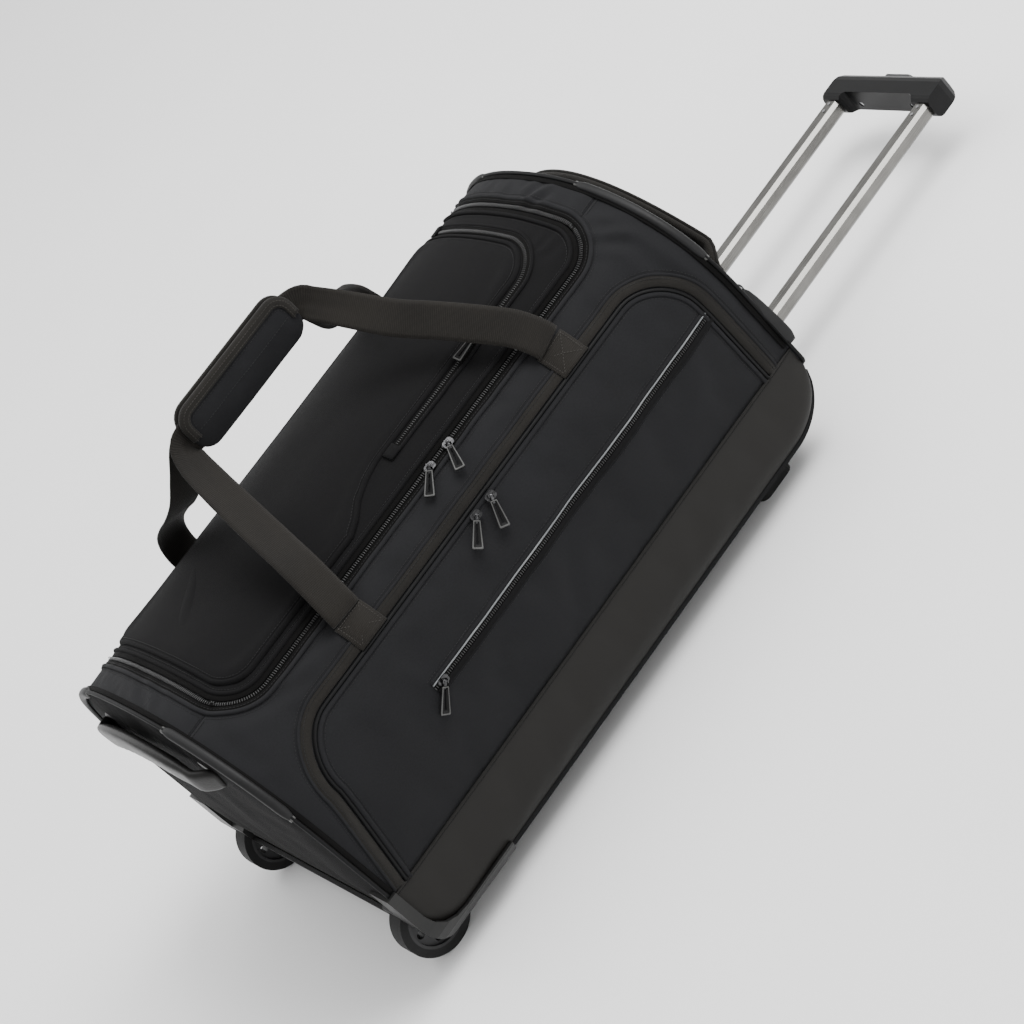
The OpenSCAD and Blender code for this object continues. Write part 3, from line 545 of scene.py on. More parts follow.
def settle(made, pinned, slack, cap, pressure, gravity):
    """Lets a piece's cloth move to rest with its pinned points held, and keeps the result in the mesh."""
    rest = np.array([v.co for v in made.data.vertices])
    group = made.vertex_groups.new(name="held")
    for i, weight in enumerate(pinned):
        if weight > 0:
            group.add([i], float(weight), "REPLACE")
    cloth = made.modifiers.new("cloth", "CLOTH")
    rules = cloth.settings
    for key, value in CLOTH.items():
        setattr(rules, key, value)
    rules.uniform_pressure_force = pressure
    rules.shrink_min = -slack
    rules.vertex_group_mass = "held"
    rules.effector_weights.gravity = gravity
    cloth.collision_settings.use_collision = False
    cloth.point_cache.frame_start = 1
    cloth.point_cache.frame_end = SETTLE_FRAMES
    scene = bpy.context.scene
    for f in range(1, SETTLE_FRAMES + 1):
        scene.frame_set(f)
    shaped = made.evaluated_get(bpy.context.evaluated_depsgraph_get())
    moved = np.array([v.co for v in shaped.data.vertices]) - rest
    size = np.linalg.norm(moved, axis=1, keepdims=True)
    moved *= cap * np.tanh(size / cap) / np.maximum(size, 1e-9)
    made.modifiers.remove(cloth)
    made.vertex_groups.remove(group)
    made.data.vertices.foreach_set("co", (rest + moved).astype(np.float32).ravel())
    scene.frame_set(1)


def smoothed(made):
    """Joins pairs of triangles, so that subdivision stays even, and adds the subdivision."""
    edit(made, bmesh.ops.join_triangles, angle_face_threshold=0.6, angle_shape_threshold=0.9)
    smooth = made.modifiers.new("smooth", "SUBSURF")
    smooth.levels = smooth.render_levels = 1
    return made


def sheet_panel(name, body, nodes, outline, material, relief, slack, cap, at=skin, step=8, thick=2.4,
                held=None, gravity=0.0):
    """A sewn panel: relief(points, edge) lifts it off the surface at(x, s, h), and its cloth then settles.

    nodes are the CAD nodes that it stands for. cap, step and thick are in millimetres.
    """
    outline, step = np.asarray(outline, float), step * MM
    points, faces, edge = fill(outline, step)
    verts = at(points[:, 0], points[:, 1], relief(points, edge))
    first = faces[0]
    turn = np.cross(verts[first[1]] - verts[first[0]], verts[first[2]] - verts[first[0]])
    if turn @ (at(*points[first[0]], 10 * MM) - at(*points[first[0]], 0.0)) < 0:
        faces = faces[:, ::-1]
    made = add_mesh(name, verts, faces, material, points)
    near = edge if held is None else np.minimum(edge, distance(points, held))
    settle(made, np.clip(1.4 - near / (1.2 * step), 0, 1), slack, cap * MM, 0.6, gravity)
    smoothed(made).data.materials.append(lining)
    shell = made.modifiers.new("shell", "SOLIDIFY")
    shell.thickness = thick * MM
    shell.offset = -1
    shell.material_offset = 1
    return place(made, body, *nodes)


def row_faces(n, m, closed):
    """Faces between n rings of m points, closed into a loop or with a cap at each end."""
    faces = [(i * m + k, (i + 1) % n * m + k, (i + 1) % n * m + (k + 1) % m, i * m + (k + 1) % m)
             for i in range(n if closed else n - 1) for k in range(m)]
    return faces if closed else faces + [tuple(range(m))[::-1], tuple(range((n - 1) * m, n * m))]


def skin_rows(name, verts, n, m, closed, material):
    """A mesh of n rings of m points, with UVs along and round them."""
    faces, rings = row_faces(n, m, closed), verts.reshape(n, m, 3)
    run, ring = run_of(rings.mean(1)), run_of(rings[n // 2])
    uvs = np.stack(np.broadcast_arrays(run[:, None], ring[None, :]), -1).reshape(-1, 2)
    return edit(add_mesh(name, verts, faces, material, uvs), bmesh.ops.recalc_face_normals)


def ribbon(name, line, profile, material, at=skin, closed=False):
    """A strip whose closed profile of (across, up) follows a line on a surface."""
    line = resample(line, closed=closed)
    side = normals_of(line, closed)
    across, up = np.array(profile).T
    spots = line[:, None] + side[:, None] * across[None, :, None]
    verts = at(spots[..., 0], spots[..., 1], np.broadcast_to(up, spots.shape[:2])).reshape(-1, 3)
    return skin_rows(name, verts, *spots.shape[:2], closed, material)


def sweep(name, path, wide, up, profile, material, closed=False):
    """A bar whose profile of (across, up) follows a path in space. wide and up are those two ways."""
    path = np.asarray(path, float)
    wide, up = (np.broadcast_to(np.asarray(v, float), path.shape) for v in (wide, up))
    profile = np.asarray(profile, float)
    if profile.ndim == 2:
        profile = np.broadcast_to(profile, (len(path), *profile.shape))
    verts = path[:, None] + wide[:, None] * profile[..., :1] + up[:, None] * profile[..., 1:]
    return skin_rows(name, verts.reshape(-1, 3), len(path), profile.shape[1], closed, material)


def unit(v):
    return v / np.maximum(np.linalg.norm(v, axis=-1, keepdims=True), 1e-12)


def ways(path, side):
    """A path's direction at each point, the way across it and square to side, and the way up from both."""
    along = unit(np.gradient(path, axis=0))
    wide = unit(np.cross(side, along))
    return along, wide, np.cross(along, wide)


# Profiles take millimetres.

def oval(a, b, sides=12, power=1.0):
    """An oval profile; a power under 1 makes it boxier."""
    turns = np.linspace(0, 2 * math.pi, sides, endpoint=False)
    c, s = np.cos(turns), np.sin(turns)
    return np.stack([a * MM * np.sign(c) * np.abs(c) ** power, b * MM * np.sign(s) * np.abs(s) ** power], 1)


def flat(x0, x1, z0, z1, bevel=0.4):
    """A flat strip from x0 to x1 across and z0 to z1 up, with its upper edges taken off."""
    x0, x1, z0, z1, b = (v * MM for v in (x0, x1, z0, z1, bevel))
    return [(x0, z0), (x1, z0), (x1, z1 - b), (x1 - b, z1), (x0 + b, z1), (x0, z1 - b)]


def bump(x0, x1, z0, z1, sides=7):
    """The same with a rounded back."""
    x0, x1, z0, z1 = (v * MM for v in (x0, x1, z0, z1))
    middle, half = (x0 + x1) / 2, (x1 - x0) / 2
    return [(x0, z0)] + [(middle - half * math.cos(a), z0 + (z1 - z0) * (0.25 + 0.75 * math.sin(a)))
                         for a in np.linspace(0, math.pi, sides)] + [(x1, z0)]


def points_mm(*points):
    """A profile given point by point."""
    return [(x * MM, z * MM) for x, z in points]


def smooth_path(points, per):
    """A curve through points."""
    points = np.asarray(points, float)
    padded = np.vstack([2 * points[0] - points[1], points, 2 * points[-1] - points[-2]])
    made = []
    for i in range(1, len(padded) - 2):
        p0, p1, p2, p3 = padded[i - 1:i + 3]
        for t in np.arange(per) / per:
            made.append(0.5 * (2 * p1 + (p2 - p0) * t + (2 * p0 - 5 * p1 + 4 * p2 - p3) * t ** 2
                               + (3 * p1 - p0 - 3 * p2 + p3) * t ** 3))
    return np.array(made + [points[-1]])


def beads(name, centres, along, up, length, radius, material, squat=1.0):
    """One mesh of small rounded bars, such as stitches or the turns of a zip's coil, in millimetres."""
    length, radius, sides = length * MM, radius * MM, 6
    along = unit(np.asarray(along, float))
    wide = unit(np.cross(up, along))
    up = np.cross(along, wide)
    turns = np.linspace(0, 2 * math.pi, sides, endpoint=False)
    half = length / 2
    rings = [(-half, 0.45), (-half + radius, 1.0), (half - radius, 1.0), (half, 0.45)]
    local = np.array([(a, r * radius * math.cos(t), r * radius * squat * math.sin(t))
                      for a, r in rings for t in turns])
    verts = (centres[:, None] + along[:, None] * local[None, :, :1] + wide[:, None] * local[None, :, 1:2]
             + up[:, None] * local[None, :, 2:])
    one = row_faces(4, sides, False)
    faces = [tuple(len(local) * c + i for i in f) for c in range(len(centres)) for f in one]
    return add_mesh(name, verts.reshape(-1, 3), faces, material)


def on_surface(line, at, h):
    """Places, directions and normals of points along a line on a surface."""
    here = at(line[:, 0], line[:, 1], h)
    return here, np.gradient(here, axis=0), unit(at(line[:, 0], line[:, 1], h + MM) - here)


class Cover:
    """A surface that follows the shown top of some pieces. A trim lies on it and rides on its body."""

    def __init__(self, body, *made, at=skin):
        self.at, self.body = at, body
        points, faces = [], []
        graph = bpy.context.evaluated_depsgraph_get()
        for piece in made:
            shape = piece.evaluated_get(graph).data
            faces += [[len(points) + i for i in p.vertices] for p in shape.polygons]
            points += [v.co.copy() for v in shape.vertices]
        self.tree = BVHTree.FromPolygons(points, faces)

    def __call__(self, x, s, h=0.0):
        x, s, h = floats(x, s, h)
        reach = 25 * MM
        base, above = self.at(x, s, 0.0), self.at(x, s, reach)
        lift = np.zeros(x.shape)
        for i in np.ndindex(x.shape):
            ray = Vector(base[i] - above[i]).normalized()
            hit = self.tree.ray_cast(Vector(above[i]), ray, reach + 7 * MM)
            lift[i] = reach - hit[3] if hit[0] else 0.0
        return base + (above - base) / reach * (lift + h)[..., None]


# ---- camera, light and floor ----

AZIMUTH, ELEVATION, ROLL = (math.radians(a) for a in (-15.04, 29.52, -46.02))
DISTANCE = 2.9402
FOCAL = 98.05
target = Vector((body_x + 74.5 * MM, 0, 138.1 * MM))


def in_scene(name, data):
    made = bpy.data.objects.new(name, data)
    bpy.context.scene.collection.objects.link(made)
    return made


def make_camera():
    back = Vector((math.sin(AZIMUTH) * math.cos(ELEVATION), -math.cos(AZIMUTH) * math.cos(ELEVATION),
                   math.sin(ELEVATION)))
    level = Vector((0, 0, 1)).cross(back).normalized()
    right = math.cos(ROLL) * level + math.sin(ROLL) * back.cross(level)
    up = back.cross(right)
    data = bpy.data.cameras.new("camera")
    data.lens = FOCAL
    data.sensor_width = 36.0
    data.clip_end = 60
    camera = in_scene("camera", data)
    turn = Matrix((right, up, back)).transposed().to_4x4()
    camera.matrix_world = Matrix.Translation(target + back * DISTANCE) @ turn
    bpy.context.scene.camera = camera
    return right, up, back


def add_light(name, direction, far, size, power):
    data = bpy.data.lights.new(name, "AREA")
    data.size = size
    data.energy = power
    lamp = in_scene(name, data)
    direction = Vector(direction).normalized()
    lamp.location = target + direction * far
    lamp.rotation_mode = "QUATERNION"
    lamp.rotation_quaternion = direction.to_track_quat("Z", "Y")


def make_studio():
    right, up, back = make_camera()
    add_light("key", up * 0.9 - right * 0.1 + back * 0.6, 4.5, 2.6, 264)
    add_light("fill", right * 0.7 + back * 0.9, 5.0, 3.6, 100)
    add_light("overhead", (0.1, 0.4, 1.2), 2.8, 2.4, 40)
    add_light("behind", (-0.2, 1.2, 0.7), 5.0, 3.1, 44)
    world = bpy.data.worlds.new("studio")
    world.use_nodes = True
    sky = world.node_tree.nodes["Background"].inputs
    sky["Color"].default_value = (1.0, 1.0, 1.0, 1)
    sky["Strength"].default_value = 1.0
    bpy.context.scene.world = world
    s = Shader("studio_floor")
    s.finish(s.colours(s.noise("Object", 3.0, 2.0), (0.86, 0.86, 0.86), (0.90, 0.90, 0.90)),
             Roughness=0.9, Specular_IOR_Level=0.2)
    edge = 14.0
    corners = [(x * edge, y * edge, 0) for x, y in ((-1, -1), (1, -1), (1, 1), (-1, 1))]
    add_mesh("studio_floor", corners, [(0, 1, 2, 3)], s.material)


make_studio()


# ---- the body's fabric ----

def puffed(height, width, seed, fold, scale=0.085):
    """A relief that is drawn in at the seams, crowned between them and softly uneven, in millimetres."""
    def relief(points, edge):
        crown = height * MM * (1 - np.exp(-(edge / (width * MM)) ** 1.6))
        seam = -MM * np.exp(-(edge / (5 * MM)) ** 2)
        folds = ripple(points, scale, seed) + 0.5 * ripple(points, scale * 0.42, seed + 7)
        return crown + seam + fold * MM * folds * (1 - np.exp(-edge / (18 * MM))) - SKIN_IN
    return relief


def creased(relief, lines):
    """The relief with soft folds that run along each line and fade out round it.

    A line is (x, millimetres on, s, millimetres on) at its start and at its end, then its width, depth and
    pitch in millimetres.
    """
    def with_creases(points, edge):
        total = np.zeros(len(points))
        for x0, on_x0, s0, on_s0, x1, on_x1, s1, on_s1, width, depth, pitch in lines:
            xa, sa, xb, sb = x0 + on_x0 * MM, s0 + on_s0 * MM, x1 + on_x1 * MM, s1 + on_s1 * MM
            width, depth, pitch = width * MM, depth * MM, pitch * MM
            run = np.array([xb - xa, sb - sa])
            far = float(np.linalg.norm(run))
            run /= far
            local = points - (xa, sa)
            along, across = local @ run / far, local @ np.array([-run[1], run[0]])
            bend = across + 0.12 * width * np.sin(along * 5.0 + depth * 4000)
            fade = np.exp(-(across / width) ** 2) * np.exp(-((along - 0.5) / 0.42) ** 4)
            total += depth * fade * np.cos(bend * 2 * math.pi / pitch)
        return relief(points, edge) + total * (1 - np.exp(-edge / (9 * MM)))
    return with_creases


FRONT_CREASES = (
    (lid_x1, -8, S_SEAM, 2, x_handle, -22, S_SEAM, -76, 24, 3.2, 21),
    (lid_x1, -22, S_SEAM, -4, lid_x1, -96, S_SEAM, -34, 13, 2.0, 14),
    (pocket_high.x, 6, 0, -470, x_handle, -20, S_SEAM, -8, 34, 3.0, 30),
    (x_wheel, 30, S_SEAM, -10, body_x, -190, S_SEAM, -70, 26, 2.8, 27),
    (lid_x0, 30, S_SEAM, -16, lid_x1, -90, S_SEAM, -38, 14, 1.5, 19))
HANDLE_CREASES = (
    (lid_x1, 6, S_CORNER, 26, x_handle, -8, S_CORNER, -24, 20, 4.2, 19),
    (lid_x1, 4, 0, -30, x_handle, -8, 0, -70, 26, 3.4, 24))
WHEEL_CREASES = (
    (lid_x0, -6, S_CORNER, 26, x_wheel, 8, S_CORNER, -20, 20, 4.2, 19),
    (lid_x0, -4, 0, -20, x_wheel, 8, 0, -60, 26, 3.4, 24))
LID_CREASES = (
    (lid_pocket_x, -8, S_POUCH, 2, lid_x1, -8, S_CORNER, 34, 22, 3.2, 17),
    (lid_x0, 14, S_CORNER, 26, lid_x0, 120, S_CORNER, 84, 26, 2.4, 26),
    (lid_x0, 40, 0, -20, lid_x0, 150, 0, 90, 40, 3.0, 46))


def make_side_panels():
    x0, x1 = x_wheel, x_handle
    front = np.vstack([[(x0, S_SEAM), (lid_x0, S_SEAM)], [p for p in lid_edge if p[1] < S_SEAM],
                       [(lid_x1, S_SEAM), (x1, S_SEAM), (x1, S_BAND)], pocket_edge, [(x0, S_BAND)]])
    back = [(x0, -S_SEAM), (lid_x0, -S_SEAM), (lid_x0, S_HINGE), (lid_x1, S_HINGE), (lid_x1, -S_SEAM),
            (x1, -S_SEAM), (x1, -S_BAND), (x0, -S_BAND)]
    made = [sheet_panel("front_fabric", "bag", ["front_panel"], front, nylon,
                        creased(puffed(2.4, 30, 3.1, 1.8), FRONT_CREASES), 0.006, 3.5,
                        held=resample(pocket_edge, 6 * MM)),
            sheet_panel("back_fabric", "bag", ["back_panel"], back, nylon, puffed(5, 70, 5.7, 2.0), 0.004,
                        5)]
    for name, nodes, a, b, seed, folds in (
            ("wheel_end_top_fabric", ["top_strips"], x0, lid_x0, 8.3, WHEEL_CREASES),
            ("handle_end_top_fabric", [], lid_x1, x1, 9.9, HANDLE_CREASES)):
        made.append(sheet_panel(name, "bag", nodes, box_line(a, b, S_SEAM, -S_SEAM), nylon,
                                creased(puffed(1.5, 14, seed, 1.0), folds), 0.008, 3, step=6.5))
    return made


def under(x, s, h=0.0):
    """The underside, where s runs straight across from the front to the back."""
    return skin(x, np.where(s < 0, -S_END - s, S_END - s), h)


def make_lower_shell():
    x0, x1 = x_wheel, x_handle
    bands = [sheet_panel(name, "bag", nodes, box_line(x0, x1, sign * S_BAND, sign * S_BASE), coated,
                         puffed(1.6, 26, 12.0 + sign, 0.7), 0.002, 2)
             for name, sign, nodes in (("front_band", 1, ["side_bands"]), ("back_band", -1, []))]
    half, deep = S_END + S_BASE, x_axle + 38 * MM
    outline = box_line(x0, x1, -half, half)
    for y in (wheel_y, -wheel_y):       # notches for the two wheels
        out = math.copysign(17 * MM, y)
        outline += [(x0, y + out), (deep, y + out), (deep, y - out), (x0, y - out)]
    sheet_panel("base_fabric", "bag", ["base_panel"], outline, coated, puffed(0.4, 40, 15.2, 0.5), 0.0, 1,
                at=under)
    return bands


side_panels = make_side_panels()
body_top = Cover("bag", *side_panels, *make_lower_shell())


def plane(axis, at_zero, way):
    """A flat surface square to an axis, given the other two coordinates and the height over it."""
    def at(a, b, h=0.0):
        a, b, h = floats(a, b, h)
        return np.stack(np.insert([a, b], axis, at_zero + way * h, 0), -1)
    return at


# The wheel end takes the darker copy of the nylon, painted shade that keeps it as dark as the rest under
# grazing light; the handle end takes the plain nylon
for end, x, way, cloth, seed in (("wheel_end", x_wheel, -1, nylon_painted_shade, 21.0),
                                 ("handle_end", x_handle, 1, nylon, 25.0)):
    ring = skin(x, np.linspace(-S_END, S_END, 400))[:, 1:]
    sheet_panel(f"{end}_fabric", "bag", [f"{end}_panel"], ring, cloth,
                puffed(3.5, 45, seed, 1.6), 0.004, 3, at=plane(0, x, way))


def raised(points, edge):
    """The lid pocket's relief: a raised pouch with a soft crown."""
    crown = 6.0 * MM * (1 - np.exp(-(edge / (6 * MM)) ** 2)) + 2.0 * MM * (1 - np.exp(-edge / (60 * MM)))
    return crown + 1.2 * MM * ripple(points, 0.12, 33.0) * (1 - np.exp(-edge / (30 * MM))) - SKIN_IN


# The lid and its pocket take the darker copy of the nylon, painted shade for surfaces that face up into the
# lamps
lid_sheets = [
    sheet_panel("lid_fabric", "lid", ["lid_panel"],
                np.vstack([lid_edge, [(lid_x1, S_HINGE), (lid_x0, S_HINGE)]]), nylon_painted_shade,
                creased(puffed(1.0, 25, 31.0, 0.8), LID_CREASES), 0.002, 2, held=loop_of(lid_pocket_edge)),
    sheet_panel("lid_pocket_fabric", "lid", ["lid_pocket_panel"], lid_pocket_edge, nylon_painted_shade, raised,
                0.003, 3, gravity=0.2)]
lid_flat, lid_top = Cover("lid", lid_sheets[0]), Cover("lid", *lid_sheets)
pocket_top = Cover("pocket_flap", sheet_panel(
    "pocket_fabric", "pocket_flap", ["pocket_panel"], resample(pocket_edge, 5 * MM), nylon,
    puffed(3.5, 40, 41.0, 2.0), 0.004, 3.5, held=strip_line))


# ---- zips and seams ----

def strip(name, line, profile, material, cover, *nodes, slot=None, closed=False):
    """A trim along a line on a cover."""
    return place(ribbon(name, line, profile, material, cover, closed), cover.body, *nodes, slot=slot)


def seam(name, lines, cover, h, material=stitch_dark, pitch=3.6, length=2.5, radius=0.42):
    """Rows of stitches along lines on a cover, in millimetres."""
    parts = [on_surface(resample(line, pitch * MM), cover, h * MM) for line in lines]
    places, along, up = (np.vstack([p[k] for p in parts]) for k in range(3))
    return place(beads(name, places, along, up, length, radius, material, 0.7), cover.body)


def teeth(name, line, cover, reach, h, pitch=2.5):
    """A zip's coil, in millimetres: short turns that reach from each side to the middle, and meet there."""
    line = resample(line, pitch * MM)
    for key, side in (("a", 1), ("b", -1)):
        across = normals_of(line) * side
        middle = line + across * (reach * MM / 2 - 0.5 * MM)
        here, _, up = on_surface(middle, cover, h * MM)
        out = cover(*(middle + across * MM).T, h * MM - 0.25 * MM)
        place(beads(f"{name}_{key}", here, out - here, up, reach, 0.55, coil), cover.body)


def make_lid_zip():
    line = resample(lid_line(ZIP_BACK))
    strip("lid_zip_tape", line, flat(0.3, 6.5, 0.1, 1.2), zip_tape, lid_flat, "lid_zips")
    strip("lid_zip_roll", line, bump(5.6, 10.4, 0, 3.4), nylon_painted_shade, lid_flat)
    seam("lid_zip_stitches", [offset(line, 12.2)], lid_flat, 0.1)
    strip("lid_coil_tape", line, flat(-5.6, -0.4, 0.0, 0.9), zip_tape, body_top, "body_zips")
    teeth("lid_coil", offset(line, -2.9), body_top, 2.6, 1.6)
    strip("lid_zip_band", line, flat(-12, -6, 0.2, 1.3), zip_tape, body_top)
    strip("lid_zip_fold", line, bump(-16, -11, 0.0, 3.0), nylon, body_top)
    seam("lid_band_stitches", [offset(line, -9)], body_top, 1.4)
    seam("lid_fold_stitches", [offset(line, -19)], body_top, 0.1)


def make_pocket_zip():
    line = resample(pocket_edge)
    strip("pocket_zip_tape", line, flat(-12.5, -0.9, 0.2, 1.2), binding, body_top, slot="zip_tape")
    strip("pocket_zip_fold", line, bump(-15, -11.5, 0.0, 2.2), nylon, body_top)
    seam("pocket_tape_stitches", [offset(line, -9)], body_top, 1.3)
    seam("pocket_fold_stitches", [offset(line, -17.5)], body_top, 0.1)
    strip("pocket_cord", line, bump(0.3, 4.2, 0.0, 3.0), piping, pocket_top, "panel_zip")
    strip("pocket_edge_fold", line, bump(4.4, 9.5, 0.0, 2.0), nylon, pocket_top)
    seam("pocket_edge_stitches", [offset(line, 11.5)[2:-2]], pocket_top, 0.1)     # clear of the band below


def make_strip_zip():
    line = resample(strip_line)
    strip("strip_tape", line, flat(-4.2, 4.0, 0.0, 0.8), zip_tape, pocket_top)
    teeth("strip_coil", line, pocket_top, 2.4, 1.2)
    # The lower welt takes the darker copy of the nylon, painted shade; the upper welt takes the plain nylon
    strip("strip_welt_low", line, bump(-9, -2.6, 0.0, 2.2), nylon_painted_shade, pocket_top)
    strip("strip_reflective", line, flat(3.2, 4.8, 0.2, 1.7), reflective, pocket_top)
    strip("strip_welt_high", line, bump(4.8, 8.6, 0.0, 1.2), nylon, pocket_top)
    seam("strip_stitches", [offset(line, 11), offset(line, -11)], pocket_top, 0.1)


def make_lid_pocket_zip():
    """The zip along the pouch's front, round its corner and towards the back, with a tab at each end."""
    out = 4.6 * MM
    turn = arc(lid_pocket_x - LID_POCKET_R, LID_POCKET_Y + LID_POCKET_R, LID_POCKET_R + out, 270, 360, 16)
    back = [(turn[-1][0], v) for v in np.linspace(-48 * MM, lid_pocket_back - 34 * MM, 12)]
    line = resample(from_plan([(body_x + 9 * MM, LID_POCKET_Y - out), *turn, *back]))
    strip("lid_pocket_tape", line, flat(-7, 3.6, 0.1, 1.1), zip_tape, lid_flat)
    teeth("lid_pocket_coil", line, lid_flat, 2.4, 1.3)
    strip("lid_pocket_fold", line, bump(-9.5, -5.8, 0.0, 2.8), nylon_painted_shade, lid_flat)
    for key, end, start, stop in (("wheel_end", line[0], (-13, 0), (3, 0)),
                                  ("back", line[-1], (0, -3), (0, 13))):
        tab = resample([end + np.array(start) * MM, end + np.array(stop) * MM], 2 * MM)
        strip(f"lid_pocket_tab_{key}", tab, flat(-9.5, 4.6, 0.6, 3.4, 0.8), nylon_painted_shade, lid_flat)
    seam("lid_pocket_tape_stitches", [offset(line, -5.6)], lid_flat, 1.3)
    edge = resample(lid_pocket_edge, closed=True)
    strip("lid_pocket_roll", edge, bump(0.4, 5.4, -0.6, 2.6), nylon_painted_shade, lid_top, closed=True)
    seam("lid_pocket_stitches", [offset(edge, 7.5, closed=True)], lid_top, 0.1)


def make_body_seams():
    for side, sign in (("front", 1), ("back", -1)):
        lines = []
        for a, b in ((x_wheel + 6 * MM, lid_x0 - 20 * MM), (lid_x1 + 20 * MM, x_handle - 6 * MM)):
            line = np.array([(a, sign * S_SEAM), (b, sign * S_SEAM)])
            lines += [line + (0, 3 * MM), line - (0, 3 * MM)]
        seam(f"top_seam_stitches_{side}", lines, body_top, 0.4, radius=0.55)
        low = np.array([(x_wheel + 2 * MM, sign * S_BAND), (x_handle - 2 * MM, sign * S_BAND)])
        strip(f"band_seam_{side}", low, bump(-2.2, 0.6, 0.2, 1.8), coated, body_top)
        seam(f"band_stitches_{side}", [low - (0, sign * 4 * MM)], body_top, 0.2)
        foot = np.array([(x_wheel + 100 * MM, sign * S_BASE), (x_handle - 1 * MM, sign * S_BASE)])
        strip(f"base_piping_{side}", foot, bump(-2.4, 2.4, -0.4, 2.8), piping, body_top)


def make_hinge_fold():
    """The fold over the lid's hinge."""
    line = [(lid_x0 + 6 * MM, S_HINGE), (lid_x1 - 6 * MM, S_HINGE)]
    made = ribbon("lid_hinge_fold", line, bump(-13, 13, -1.0, 1.7, 17), zip_tape,
                  Cover("lid", side_panels[1], *lid_sheets))
    give_slot(made, "nylon")
    _, y, z = skin(body_x, S_HINGE)
    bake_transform(made)


make_lid_zip()
make_pocket_zip()
make_strip_zip()
make_lid_pocket_zip()
make_body_seams()
make_hinge_fold()


# ---- edging of the end panels ----

def edge_bar(name, side, s, profile, material, *nodes, slot=None, taper=None, closed=False):
    """A profile of (out of the end, off the surface) that runs along an end panel's edge."""
    x = np.full(len(s), x_wheel if side < 0 else x_handle)
    up = unit(skin(x - side * MM, s, MM) - skin(x - side * MM, s))
    up[:, 0] = 0
    shape = np.asarray(profile)
    if taper:
        count = np.arange(len(s))
        run = np.minimum(count, count[::-1]) / (len(s) - 1) * abs(s[-1] - s[0])
        shape = shape[None] * (1 - 0.45 * np.clip(1 - run / taper, 0, 1) ** 2)[:, None, None]
    made = sweep(name, skin(x, s), [float(side), 0, 0], unit(up), shape, material, closed)
    return place(made, "bag", *nodes, slot=slot)


GUARD_PROFILE = np.array(points_mm(
    (0.1, -0.2), (0.1, -5.6), (1.6, -6.0), (3.0, -5.2), (3.7, -3.6), (3.9, -1), (3.5, 1.4), (2.2, 3.2),
    (0.2, 4.1), (-2.6, 4.3), (-4.8, 3.7), (-6.0, 2.3), (-6.3, 0.8), (-6.0, -0.2)))


def make_edging():
    tray_s = girth_at_z(124 * MM)
    guard_s = (girth_at_z(256 * MM), girth_at_y(-90 * MM))
    over = np.linspace(tray_s, -tray_s, 300)
    for side, end in ((-1, "wheel_end"), (1, "handle_end")):
        ring = np.linspace(-S_END, S_END, 420, endpoint=False) if side > 0 else over
        edge_bar(f"{end}_piping", side, ring, oval(2.2, 2.2, 10) + np.array([-1.0 * MM, 0.9 * MM]), piping,
                 *(["end_piping"] if side < 0 else []), closed=side > 0)
        edge_bar(f"{end}_piping_tape", side, over, flat(-9, -3.5, 0.1, 1.2), zip_tape, slot="piping")
        for key, sign in (("front", 1), ("back", -1)):
            ends = [s * sign for s in guard_s]
            first = side < 0 and sign > 0
            edge_bar(f"{end}_guard_{key}", side, np.linspace(*ends, 60), GUARD_PROFILE, guard,
                     *(["corner_guards"] if first else []), taper=14 * MM)
            for which, at, into in (("low", ends[0], 4 * MM * sign), ("high", ends[1], -4 * MM * sign)):
                edge_bar(f"{end}_guard_{key}_{which}", side, np.linspace(at - into * 0.4, at + into, 5),
                         GUARD_PROFILE * 1.03 * 0.62, guard_tip)


make_edging()


# ---- handles at the ends ----

GRAB_Z = 321 * MM           # height of both handles' middles


